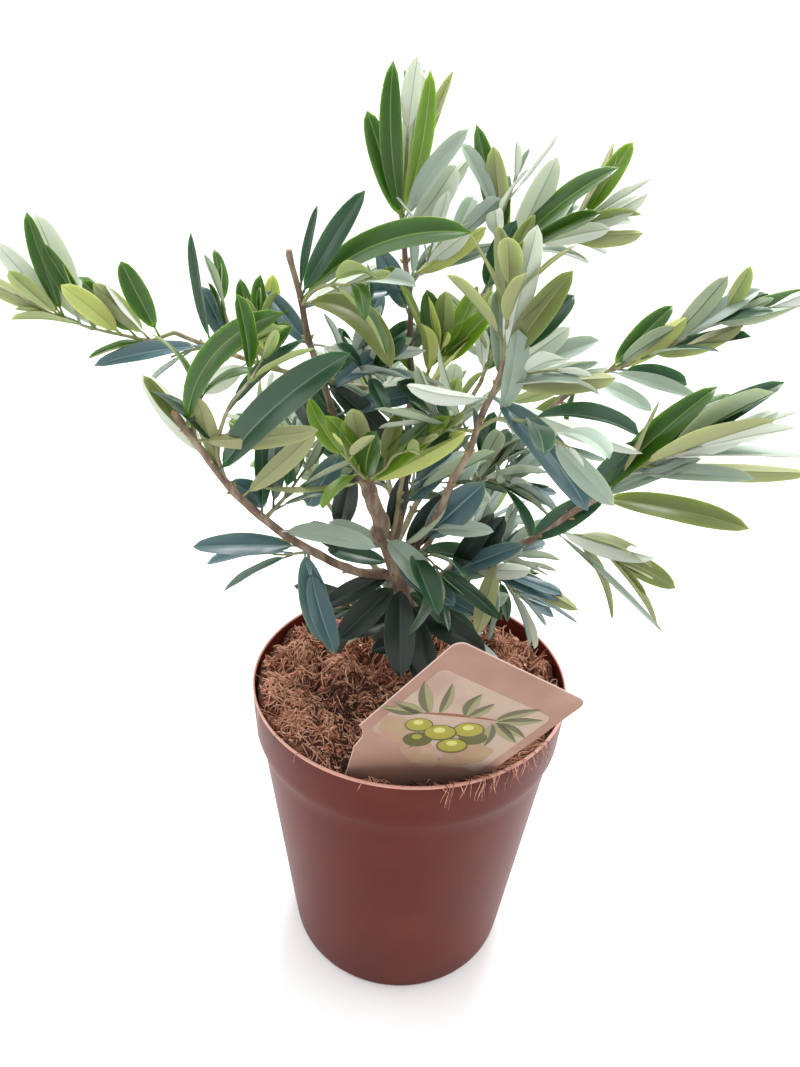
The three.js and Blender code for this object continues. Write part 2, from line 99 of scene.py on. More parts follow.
class Shader:
    """A material's node tree, with short ways to add the nodes that the finishes share."""

    def __init__(self, name: str, colour: Colour, roughness: float) -> None:
        """Starts a material with one Principled shader.

        Args:
            name: the material's name.
            colour: its plain base colour, linear.
            roughness: its plain roughness.
        """
        self.material = bpy.data.materials.new(name)
        self.material.use_nodes = True
        self.material.diffuse_color = (*colour, 1.0)
        self.tree = self.material.node_tree
        self.surface = self.tree.nodes["Principled BSDF"]
        self.set("Base Color", (*colour, 1.0))
        self.set("Roughness", roughness)

    def set(self, socket: str, value: object) -> None:
        """Sets a constant on the shader's own socket."""
        self.surface.inputs[socket].default_value = value

    def node(self, kind: str, **values: object) -> bpy.types.Node:
        """Adds a node and sets its inputs or properties.

        Args:
            kind: the node's type name.
            values: inputs by name with spaces as underscores, or properties.

        Returns:
            The new node.
        """
        made = self.tree.nodes.new(kind)
        for name, value in values.items():
            socket = made.inputs.get(name.replace("_", " "))
            if socket is not None:
                socket.default_value = value
            else:
                setattr(made, name, value)
        return made

    def link(self, source: bpy.types.NodeSocket, target: bpy.types.NodeSocket) -> None:
        """Joins two sockets."""
        self.tree.links.new(source, target)

    def grain(
        self, scale: float, detail: float = 3.0, stretch: Sequence[float] = (1, 1, 1),
    ) -> bpy.types.NodeSocket:
        """Adds a noise that lies in the piece's own space.

        Args:
            scale: cells a metre.
            detail: octaves of finer noise.
            stretch: scale of the three axes.

        Returns:
            The noise's value.
        """
        place = self.node("ShaderNodeTexCoord")
        mapping = self.node("ShaderNodeMapping", Scale=tuple(stretch))
        grain = self.node("ShaderNodeTexNoise", Scale=scale, Detail=detail)
        self.link(place.outputs["Object"], mapping.inputs["Vector"])
        self.link(mapping.outputs["Vector"], grain.inputs["Vector"])
        return grain.outputs["Fac"]

    def blend(self, factor: bpy.types.NodeSocket, stops: Sequence[tuple[float, Colour]]) -> None:
        """Drives the base colour by a ramp.

        Args:
            factor: the value that runs along the ramp.
            stops: place and linear colour of each stop.
        """
        ramp = self.tree.nodes.new("ShaderNodeValToRGB")
        elements = ramp.color_ramp.elements
        while len(elements) < len(stops):
            elements.new(0.5)
        for element, (place, colour) in zip(elements, stops):
            element.position = place
            element.color = (*colour, 1.0)
        self.link(factor, ramp.inputs["Fac"])
        self.link(ramp.outputs["Color"], self.surface.inputs["Base Color"])

    def rough(self, factor: bpy.types.NodeSocket, low: float, high: float) -> None:
        """Drives the roughness.

        Args:
            factor: the value that it follows.
            low: the roughness at 0.
            high: the roughness at 1.
        """
        span = self.node("ShaderNodeMapRange", To_Min=low, To_Max=high)
        self.link(factor, span.inputs["Value"])
        self.link(span.outputs["Result"], self.surface.inputs["Roughness"])

    def relief(self, factor: bpy.types.NodeSocket, depth: float, strength: float = 0.5) -> None:
        """Adds a bump.

        Args:
            factor: the height that it follows.
            depth: its depth in metres.
            strength: its share of that depth.
        """
        bump = self.node("ShaderNodeBump", Strength=strength, Distance=depth)
        self.link(factor, bump.inputs["Height"])
        self.link(bump.outputs["Normal"], self.surface.inputs["Normal"])


@dataclass(frozen=True)
class PlainFinish:
    """One even colour with a fine surface grain."""

    name: str
    colour: Colour
    roughness: float
    grain: float = 900.0
    depth: float = 0.05 * MM
    glow: float = 0.0

    def material(self) -> bpy.types.Material:
        """Makes the material, or finds the one already made.

        Returns:
            The material.
        """
        found = bpy.data.materials.get(self.name)
        if found:
            return found
        shader = Shader(self.name, self.colour, self.roughness)
        shader.relief(shader.grain(self.grain), self.depth)
        if self.glow:
            shader.set("Subsurface Weight", self.glow)
            shader.set("Subsurface Radius", (0.7, 1.0, 0.25))
            shader.set("Subsurface Scale", 1.2 * MM)
        return shader.material


@dataclass(frozen=True)
class MottledFinish:
    """A surface whose colour wanders between a few tones, with a relief of its own scale."""

    name: str
    stops: tuple[tuple[float, Colour], ...]
    roughness: tuple[float, float]
    patch: float
    grain: float
    depth: float
    strength: float = 0.6
    stretch: tuple[float, float, float] = (1.0, 1.0, 1.0)
    shine: float = 0.5

    def material(self) -> bpy.types.Material:
        """Makes the material, or finds the one already made.

        Returns:
            The material.
        """
        found = bpy.data.materials.get(self.name)
        if found:
            return found
        shader = Shader(self.name, self.stops[0][1], self.roughness[0])
        shader.set("Specular IOR Level", self.shine)
        patches = shader.grain(self.patch, 5.0, self.stretch)
        shader.blend(patches, self.stops)
        shader.rough(patches, *self.roughness)
        shader.relief(shader.grain(self.grain, 4.0, self.stretch), self.depth, self.strength)
        return shader.material


Finish = PlainFinish | MottledFinish
Mix = Sequence[tuple[Finish, float]]

BARK = MottledFinish(
    "bark_grey_brown",
    ((0.30, paint(84, 66, 53)), (0.50, paint(124, 104, 87)), (0.68, paint(160, 143, 124))),
    (0.75, 0.92), 260.0, 900.0, 0.5 * MM, 0.8, (1.0, 1.0, 0.35),
)
YOUNG_BARK = MottledFinish(
    "bark_young",
    ((0.32, paint(110, 98, 66)), (0.52, paint(146, 138, 104)), (0.70, paint(172, 166, 138))),
    (0.6, 0.8), 320.0, 1400.0, 0.2 * MM, 0.5, (1.0, 1.0, 0.4),
)
CUT_WOOD = MottledFinish(
    "cut_wood",
    ((0.35, paint(96, 70, 48)), (0.55, paint(156, 124, 88)), (0.75, paint(186, 158, 120))),
    (0.8, 0.95), 900.0, 1800.0, 0.2 * MM,
)
GREEN_TWIG = PlainFinish("twig_green", paint(142, 144, 96), 0.55)
BUD = PlainFinish("bud", paint(150, 134, 84), 0.6)
TERRACOTTA = MottledFinish(
    "terracotta_plastic",
    ((0.30, paint(84, 29, 22)), (0.52, paint(91, 33, 25)), (0.74, paint(101, 40, 31))),
    (0.36, 0.46), 30.0, 1600.0, 0.05 * MM, 0.3, shine=0.12,
)
# Painted highlight: a pale pink on the rounded top of the rim, where the light catches its edge.
RIM_EDGE = PlainFinish("terracotta_rim_highlight", paint(196, 142, 126), 0.4)
# The bed is coloured dark as painted shade in the gaps between the fibres, with a random mottle of coir
# browns.
COIR_BED_AND_GAP_SHADE = MottledFinish(
    "coir_bed",
    ((0.30, paint(44, 23, 17)), (0.50, paint(92, 52, 39)), (0.70, paint(140, 90, 68))),
    (0.9, 1.0), 420.0, 1500.0, 1.2 * MM, 1.0,
)
# The tan and dark tones are coir colours that the crumbs take at random; add_tuft also lays them by height,
# as painted highlight on the tops and painted shade in the hollows.
COIR_TAN_AND_TOP_HIGHLIGHT, COIR_RUST, COIR_DARK_AND_HOLLOW_SHADE = (
    MottledFinish(name, ((0.35, low), (0.65, high)), roughness, 700.0, 2500.0, 0.1 * MM)
    for name, low, high, roughness in (
        ("coir_tan", paint(196, 138, 108), paint(234, 188, 158), (0.75, 0.9)),
        ("coir_rust", paint(144, 84, 64), paint(194, 128, 100), (0.8, 0.95)),
        ("coir_dark", paint(46, 25, 17), paint(84, 50, 35), (0.85, 0.98)),
    )
)
CARD_STOCK = MottledFinish(
    "printed_card",
    ((0.32, paint(150, 114, 100)), (0.52, paint(162, 127, 112)), (0.72, paint(176, 143, 129))),
    (0.55, 0.65), 34.0, 900.0, 0.02 * MM, 0.2, shine=0.15,
)
CARD_EDGE = PlainFinish("card_edge", paint(206, 180, 170), 0.5)
CARD_PANEL = MottledFinish(
    "card_panel",
    ((0.35, paint(168, 142, 128)), (0.55, paint(180, 158, 143)), (0.75, paint(176, 157, 134))),
    (0.55, 0.65), 60.0, 900.0, 0.02 * MM, 0.2, shine=0.15,
)
INK_TWIG = PlainFinish("ink_twig", paint(138, 78, 56), 0.6)
INK_LEAF_DARK = PlainFinish("ink_leaf_dark", paint(90, 88, 56), 0.6)
INK_LEAF_LIGHT = PlainFinish("ink_leaf_light", paint(138, 134, 92), 0.6)
INK_OLIVE_DARK = PlainFinish("ink_olive_dark", paint(84, 82, 32), 0.6)
INK_OLIVE = PlainFinish("ink_olive", paint(150, 142, 46), 0.6)
INK_OLIVE_LIGHT = PlainFinish("ink_olive_light", paint(194, 190, 112), 0.6)
INK_WASH = MottledFinish(
    "ink_wash", ((0.35, paint(170, 132, 116)), (0.55, paint(166, 142, 112)), (0.75, paint(182, 150, 132))),
    (0.55, 0.65), 90.0, 900.0, 0.02 * MM, 0.2, shine=0.15,
)


# The finishes of each kind of piece, in the order of its slots. A leaf has its four in every tone.
WoodSlot = IntEnum("WoodSlot", "BARK CUT BUD", start=0)
TwigSlot = IntEnum("TwigSlot", "GREEN WOODY BUD", start=0)
LeafSlot = IntEnum("LeafSlot", "UPPER UNDER RIB MARGIN", start=0)
PotSlot = IntEnum("PotSlot", "PLASTIC RIM_EDGE", start=0)
CoirSlot = IntEnum("CoirSlot", "TAN RUST DARK", start=0)
CardSlot = IntEnum(
    "CardSlot", "STOCK EDGE PANEL TWIG LEAF_DARK LEAF_LIGHT OLIVE_DARK OLIVE OLIVE_LIGHT WASH", start=0,
)


class Region(Enum):
    """The regions of the crown, each gathered into pieces of its own."""

    LEFT = "left"
    MIDDLE = "middle"
    TOP = "top"
    RIGHT = "right"
    HEART = "heart"
    BACK = "back"


class Growth(Enum):
    """The kinds of growth that are gathered apart."""

    LEAVES = "leaves"
    TWIGS = "twigs"


class Tone(Enum):
    """The leaf tones of the tree, from the freshest growth to the heart, whose shade is painted into its
    leaves' dark tone.
    """

    BRIGHT = "bright"
    FRESH = "fresh"
    OLIVE = "olive"
    MATURE = "mature"
    BLUE = "blue"
    SILVER = "silver"
    SHADE = "shade"


@dataclass(frozen=True)
class LeafFinish:
    """The upper face, under face and midrib colours of one tone of leaf, with its margin paled as a painted
    edge highlight.
    """

    tone: Tone
    upper: Colour
    under: Colour
    rib: Colour
    gloss: float
    glow: float

    def finishes(self) -> tuple[PlainFinish, PlainFinish, PlainFinish, PlainFinish]:
        """Makes the finishes of one tone.

        Returns:
            Upper, under, rib and margin, in the order of a leaf's slots.
        """
        name = self.tone.value
        # The margin is a painted edge highlight: the upper colour paled a fifth towards the under colour.
        margin = tuple(0.8 * a + 0.2 * b for a, b in zip(self.upper, self.under))
        return (
            PlainFinish(f"leaf_{name}_upper", self.upper, self.gloss, 1600.0, 0.03 * MM, self.glow),
            PlainFinish(f"leaf_{name}_under", self.under, 0.62, 2200.0, 0.03 * MM, self.glow),
            PlainFinish(f"leaf_{name}_rib", self.rib, 0.5, 2200.0, 0.03 * MM, self.glow),
            PlainFinish(f"leaf_{name}_margin", margin, 0.5, 2200.0, 0.02 * MM, self.glow),
        )


LEAF_FINISHES = {
    finish.tone: finish for finish in (
        LeafFinish(Tone.BRIGHT, paint(98, 130, 30), paint(174, 180, 104), paint(150, 168, 76), 0.36, 0.3),
        LeafFinish(Tone.FRESH, paint(48, 84, 18), paint(142, 152, 98), paint(112, 138, 64), 0.32, 0.25),
        LeafFinish(Tone.OLIVE, paint(104, 112, 56), paint(152, 154, 110), paint(134, 138, 88), 0.4, 0.25),
        LeafFinish(Tone.MATURE, paint(30, 68, 45), paint(156, 168, 142), paint(88, 114, 86), 0.34, 0.12),
        LeafFinish(Tone.BLUE, paint(62, 92, 100), paint(168, 180, 174), paint(112, 138, 136), 0.28, 0.12),
        # This tone is a real grey-green leaf with a silvery underside, both faces lightened as a painted
        # highlight for the shiny crown leaves.
        LeafFinish(Tone.SILVER, paint(150, 166, 154), paint(204, 211, 200), paint(170, 182, 164), 0.36, 0.15),
        # Painted shade: the shade tone's dark colours stand in for the shade that falls on the leaves in the
        # heart and skirt.
        LeafFinish(Tone.SHADE, paint(24, 40, 33), paint(88, 104, 90), paint(46, 64, 52), 0.38, 0.05),
    )
}


# ---------- mesh core
def put(name: str, data: bpy.types.ID) -> bpy.types.Object:
    """Puts a new object in the scene."""
    thing = bpy.data.objects.new(name, data)
    bpy.context.scene.collection.objects.link(thing)
    return thing


class MeshMaker:
    """Gathers points and faces, each face with a finish, and makes one object of them."""

    def __init__(self, name: str, finishes: Sequence[Finish]) -> None:
        """Starts an empty piece.

        Args:
            name: the piece's name.
            finishes: its finishes, in the order of its slots.
        """
        self.name = name
        self.finishes = list(finishes)
        self.points: list[Vector] = []
        self.faces: list[tuple[int, ...]] = []
        self.slots: list[int] = []

    def point(self, place: Vector) -> int:
        """Adds a point and gives its number."""
        self.points.append(place)
        return len(self.points) - 1

    def face(self, corners: Sequence[int], slot: int = 0) -> None:
        """Adds a face over point numbers."""
        self.faces.append(tuple(corners))
        self.slots.append(int(slot))

    def skin(self, rings: Sequence[Sequence[int]], slot: int = 0) -> None:
        """Joins closed rings of equal length, one after another.

        Args:
            rings: point numbers round each ring.
            slot: the finish of the faces.
        """
        for lower, upper in zip(rings, rings[1:]):
            count = len(lower)
            for i in range(count):
                j = (i + 1) % count
                self.face((lower[i], lower[j], upper[j], upper[i]), slot)

    def fan(self, ring: Sequence[int], middle: int, slot: int = 0, flip: bool = False) -> None:
        """Closes a ring onto one middle point.

        Args:
            ring: point numbers round the ring.
            middle: the middle point's number.
            slot: the finish of the faces.
            flip: turns the faces the other way.
        """
        for i, corner in enumerate(ring):
            after = ring[(i + 1) % len(ring)]
            self.face((after, corner, middle) if flip else (corner, after, middle), slot)

    def make(
        self, replaced: Sequence[str] = (), slot: Optional[str] = None, smooth: bool = True,
    ) -> bpy.types.Object:
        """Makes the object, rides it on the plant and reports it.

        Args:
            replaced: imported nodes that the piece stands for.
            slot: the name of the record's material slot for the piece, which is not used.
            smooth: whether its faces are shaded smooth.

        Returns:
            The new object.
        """
        mesh = bpy.data.meshes.new(self.name)
        mesh.from_pydata([tuple(p) for p in self.points], [], self.faces)
        for finish in self.finishes:
            mesh.materials.append(finish.material())
        mesh.polygons.foreach_set("material_index", self.slots)
        mesh.polygons.foreach_set("use_smooth", [smooth] * len(self.faces))
        mesh.update()
        piece = put(self.name, mesh)
        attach(piece, "root")
        if replaced:
            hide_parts(*replaced)
        LOG.info("%-24s %6d faces", self.name, len(self.faces))
        return piece


def smoothstep(low: float, high: float, value: float) -> float:
    """Gives 0 below low, 1 above high and a smooth step between."""
    share = min(1.0, max(0.0, (value - low) / (high - low)))
    return share * share * (3 - 2 * share)


def level_and_rise(heading: float, pitch: float) -> Vector:
    """Gives the direction of a heading and a pitch in degrees."""
    h, p = math.radians(heading), math.radians(pitch)
    return Vector((math.cos(h) * math.cos(p), math.sin(h) * math.cos(p), math.sin(p)))


def polar(radius: float, angle: float, height: float = 0.0) -> Vector:
    """Gives the point at a radius, an angle in radians and a height."""
    return Vector((radius * math.cos(angle), radius * math.sin(angle), height))


def square_to(direction: Vector, wanted: Vector) -> Vector:
    """Squares one direction to another.

    Args:
        direction: the unit direction to be square to.
        wanted: the direction to keep near.

    Returns:
        The unit direction nearest to the wanted one.
    """
    rest = wanted - direction * wanted.dot(direction)
    if rest.length < 1e-6:
        rest = direction.orthogonal()
    return rest.normalized()


def spun(first: Vector, second: Vector, angle: float) -> tuple[Vector, Vector]:
    """Turns two square axes in their own plane, the first towards the second, by radians."""
    c, s = math.cos(angle), math.sin(angle)
    return first * c + second * s, second * c - first * s


class Path:
    """A smooth open line through points, measured by its length."""

    SAMPLES = 80
    HALF_STEP = 0.02
    ROUNDS = 3

    def __init__(self, points: Sequence[Vector]) -> None:
        """Keeps the points and the length run at each.

        Args:
            points: the line's points in order.
        """
        self.points = [Vector(p) for p in points]
        self.runs = [0.0]
        for a, b in zip(self.points, self.points[1:]):
            self.runs.append(self.runs[-1] + (b - a).length)
        self.length = self.runs[-1]

    def at(self, share: float) -> Vector:
        """Finds a point of the line, which runs straight on past its ends.

        Args:
            share: the point's share of the length.

        Returns:
            The point.
        """
        run = share * self.length
        i = 0
        while i < len(self.runs) - 2 and self.runs[i + 1] < run:
            i += 1
        step = max(1e-9, self.runs[i + 1] - self.runs[i])
        return self.points[i].lerp(self.points[i + 1], (run - self.runs[i]) / step)

    def along(self, share: float) -> Vector:
        """Gives the direction at a share of the length."""
        low, high = max(0.0, share - self.HALF_STEP), min(1.0, share + self.HALF_STEP)
        return (self.at(high) - self.at(low)).normalized()

    def nearest(self, place: Vector) -> float:
        """Gives the share of the length that lies nearest to a place."""
        shares = [i / self.SAMPLES for i in range(self.SAMPLES + 1)]
        return min(shares, key=lambda share: (self.at(share) - place).length)

    def smoothed(self, step: float) -> "Path":
        """Gives the same line with rounded corners and even steps.

        Args:
            step: the length of a step.

        Returns:
            The new path, through the same ends.
        """
        count = max(3, round(self.length / step))
        points = [self.at(i / count) for i in range(count + 1)]
        for _ in range(self.ROUNDS):
            inner = [(a + 2 * b + c) / 4 for a, b, c in zip(points, points[1:], points[2:])]
            points = [points[0], *inner, points[-1]]
        return Path(points)


class PackedShape:
    """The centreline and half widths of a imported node, read by slicing its mesh."""

    CUTS = 9

    def __init__(self, node: str, foot: Vector) -> None:
        """Slices a node from its foot to its furthest point.

        Args:
            node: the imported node's name.
            foot: a place that the node grows from.
        """
        mesh = frame["nodes"][node].data
        places = [v.co.copy() for v in mesh.vertices]
        self.edges = [tuple(places[i] for i in edge.vertices) for edge in mesh.edges]
        start = min(places, key=lambda p: (p - foot).length)
        tip = max(places, key=lambda p: (p - start).length)
        chord = (tip - start).normalized()
        middles, widths = [], []
        for i in range(1, self.CUTS):
            middle, width = self.cut(start.lerp(tip, i / self.CUTS), chord)
            middles.append(middle)
            widths.append(width)
        self.path = Path([start, *middles, tip])
        self.widths = [widths[0] * 0.6, *widths, widths[-1] * 0.5]
        self.tip = tip

    def cut(self, place: Vector, chord: Vector) -> tuple[Vector, float]:
        """Cuts the mesh by a plane.

        Args:
            place: a point of the plane.
            chord: the plane's normal.

        Returns:
            The middle and the mean half width of the cut.
        """
        crossings = []
        for a, b in self.edges:
            high, low = (a - place).dot(chord), (b - place).dot(chord)
            if high * low < 0:
                crossings.append(a.lerp(b, high / (high - low)))
        if not crossings:
            return place, MM
        middle = sum(crossings, Vector()) / len(crossings)
        return middle, sum((c - middle).length for c in crossings) / len(crossings)

    def width(self, share: float) -> float:
        """Finds the half width.

        Args:
            share: the place's share of the length.

        Returns:
            The half width there.
        """
        where = min(max(share, 0.0), 1.0) * (len(self.widths) - 1)
        i = min(int(where), len(self.widths) - 2)
        return self.widths[i] + (self.widths[i + 1] - self.widths[i]) * (where - i)


def sweep(
    maker: MeshMaker, path: Path, sides: int, radius: Callable[[float, float], float],
    slot: int = 0, end_slot: Optional[int] = None, steps: int = 0, dome: float = 0.5,
) -> None:
    """Sweeps a round section along a path and closes both ends.

    Args:
        maker: gathers the faces.
        path: the line to follow.
        sides: points round the section.
        radius: gives the radius at a share of the length and an angle in radians.
        slot: the finish of the side.
        end_slot: the finish of the far end, where it differs.
        steps: rings along the path, or 0 for one at each of its points.
        dome: how far the far end bulges, as a share of its radius.
    """
    shares = [i / steps for i in range(steps + 1)] if steps else [run / path.length for run in path.runs]
    across = square_to(path.along(0.0), Vector((0.31, 0.95, 0.11)))
    rings = []
    for share in shares:
        along = path.along(share)
        across = square_to(along, across)
        other = along.cross(across)
        centre = path.at(share)
        ring = []
        for i in range(sides):
            angle = 2 * math.pi * i / sides
            out = across * math.cos(angle) + other * math.sin(angle)
            ring.append(maker.point(centre + out * radius(share, angle)))
        rings.append(ring)
    maker.skin(rings, slot)
    maker.fan(rings[0], maker.point(path.at(0.0)), slot, flip=True)
    cap = path.at(1.0) + path.along(1.0) * radius(1.0, 0.0) * dome
    maker.fan(rings[-1], maker.point(cap), slot if end_slot is None else end_slot)


# ---------- wood
@dataclass
class Limb:
    """The trunk or one bough: a swept limb with nodes, bark relief and its own end."""

    node: str
    parent: Optional[str]
    young: bool = False
    pruned: bool = False
    sides: int = 14
    step: float = 1.1 * MM
    swelling: float = 0.16
    kink: float = 0.45 * MM
    joint: float = 15.0 * MM
    collar: float = 0.55
    slim: float = 0.8
    shape: PackedShape = field(init=False)
    path: Path = field(init=False)

    def trace(self, limbs: dict[str, "Limb"]) -> None:
        """Reads the bough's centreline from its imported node, out from its parent's.

        Args:
            limbs: the limbs traced so far, by node.
        """
        stem = limbs[self.parent].path
        places = [v.co for v in frame["nodes"][self.node].data.vertices]
        close = min(places, key=lambda p: (stem.at(stem.nearest(p)) - p).length)
        self.shape = PackedShape(self.node, close)
        points = [stem.at(stem.nearest(close)), *self.shape.path.points[1:-1]]
        onward = (points[-1] - points[-2]).normalized()
        points.append(points[-1] + onward * (self.shape.path.length / PackedShape.CUTS))
        self.path = Path(points).smoothed(self.step)

    def radius(self, share: float, angle: float) -> float:
        """Gives the bough's radius with its taper, collar, nodes and bark relief.

        Args:
            share: the place's share of the length.
            angle: the turn round the centreline in radians.

        Returns:
            The radius.
        """
        run = share * self.path.length
        plain = self.slim * self.shape.width(0.12 + 0.78 * share)
        joint = math.exp(-((run % self.joint - self.joint / 2) / (1.6 * MM)) ** 2)
        size = plain * (1 + self.swelling * joint * (0.6 + 0.4 * math.cos(2 * angle + run / self.joint)))
        size *= 1 + self.collar * math.exp(-run / (3.2 * MM))
        place = polar(2.2, angle, run * 130)
        place += Vector((self.phase(), 0, 0))
        ridges = noise.noise(place) * 0.6 + noise.noise(place * 2.7) * 0.4
        relief = 0.07 if self.young else 0.13
        return size * (1 + relief * ridges)

    def phase(self) -> float:
        """Gives a number of the limb's own, so that no two limbs share their relief."""
        return sum(ord(letter) for letter in self.node) % 97

    def build(self, rng: random.Random) -> None:
        """Makes the limb's mesh, with its buds.

        Args:
            rng: the limb's own seeded numbers.
        """
        maker = MeshMaker(f"{self.node}_bark", (YOUNG_BARK if self.young else BARK, CUT_WOOD, BUD))
        bends = [p.copy() for p in self.path.points]
        for i in range(2, len(bends) - 1):
            run = self.path.runs[i]
            turn = math.sin(math.pi * run / self.joint) * min(1.0, run / (10 * MM))
            side = square_to(self.path.along(run / self.path.length), Vector((0.7, -0.5, 0.2)))
            bends[i] += side * self.kink * turn
        path = Path(bends)
        end_slot, dome = (WoodSlot.CUT, 0.25) if self.pruned else (WoodSlot.BARK, 0.8)
        sweep(maker, path, self.sides, self.radius, WoodSlot.BARK, end_slot, dome=dome)
        self.add_buds(maker, path, rng)
        maker.make([self.node], "bark")

    def add_buds(self, maker: MeshMaker, path: Path, rng: random.Random) -> None:
        """Adds a pair of small buds at each node.

        Args:
            maker: gathers the faces.
            path: the limb's centreline.
            rng: the limb's own seeded numbers.
        """
        run = 1.5 * self.joint
        turn = rng.random() * math.pi
        while run < path.length - 3 * MM:
            share = run / path.length
            along = path.along(share)
            out = square_to(along, polar(1.0, turn, 0.2))
            for side in (1, -1):
                foot = path.at(share) + out * side * self.radius(share, turn) * 0.8
                reach = rng.uniform(1.4, 2.6) * MM
                tip = foot + (along * 0.8 + out * side * 0.7) * reach
                fat = reach * 0.3
                sweep(
                    maker, Path([foot, foot.lerp(tip, 0.35), foot.lerp(tip, 0.7), tip]), 6,
                    lambda s, _a, fat=fat: fat * (1.05 - s ** 2), WoodSlot.BUD, dome=0.6,
                )
            run += self.joint
            turn += math.pi / 2


@dataclass
class TrunkLimb(Limb):
    """The trunk, with the ribs of its root flare."""

    sides: int = 40
    step: float = 0.8 * MM
    foot_radius: float = 5.2 * MM
    fork_radius: float = 3.4 * MM
    flare: float = 3.8 * MM
    flare_height: float = 7.5 * MM
    foot_shift: float = 20 * MM

    def trace(self, limbs: dict[str, Limb]) -> None:
        """Reads the trunk's centreline from its flat cut to its fork.

        Args:
            limbs: the limbs traced so far, which the trunk doesn't need.
        """
        low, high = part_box(self.node)
        foot = Vector(((low[0] + high[0]) / 2 + self.foot_shift, (low[1] + high[1]) / 2, low[2]))
        self.shape = PackedShape(self.node, foot)
        ground = [p for a, b in self.shape.edges for p in (a, b) if p.z < low[2] + 0.2 * MM]
        start = sum(ground, Vector()) / len(ground)
        points = [start, *self.shape.path.points[2:-1]]
        points.append(self.shape.tip.lerp(points[-1], 0.3))
        self.path = Path(points).smoothed(self.step)

    def radius(self, share: float, angle: float) -> float:
        """Gives the trunk's radius with its taper, flare, ribs and furrows.

        Args:
            share: the place's share of the length.
            angle: the turn round the centreline in radians.

        Returns:
            The radius.
        """
        run = share * self.path.length
        ribs = 1 + 0.3 * math.cos(3 * angle + 0.6)
        size = self.foot_radius + (self.fork_radius - self.foot_radius) * share
        size += self.flare * math.exp(-run / self.flare_height) * ribs
        place = polar(1.7, angle, run * 90)
        furrows = noise.noise(place * 1.6) * 0.6 + noise.noise(place * 4.5) * 0.4
        lumps = noise.noise(polar(1.0, angle, run * 45) * 1.1 + Vector((5, 0, 0)))
        return size * (1 + 0.12 * furrows + 0.14 * lumps)


LIMBS = (
    TrunkLimb("trunk", None),
    Limb("bough_leader", "trunk", pruned=True, sides=28, step=0.9 * MM, slim=0.82),
    Limb("bough_left_low", "trunk", pruned=True, sides=18),
    Limb("bough_left_mid", "trunk", pruned=True, sides=18),
    Limb("bough_top", "trunk"),
    Limb("bough_left_long", "bough_top", young=True),
    Limb("bough_right_up", "trunk"),
    Limb("bough_right_low", "trunk"),
    Limb("bough_mid", "trunk", young=True),
    Limb("bough_right_back", "trunk"),
    Limb("bough_back_mid", "trunk", young=True),
    Limb("bough_back_left", "trunk", young=True),
    Limb("bough_back_low", "trunk", young=True),
    Limb("bough_left_back", "trunk", young=True),
)


# ---------- leaves
ACROSS = (-1.0, -0.95, -0.52, -0.055, 0.0, 0.055, 0.52, 0.95, 1.0)
MARGIN_EDGE = 0.94
RIB_EDGE = 0.06


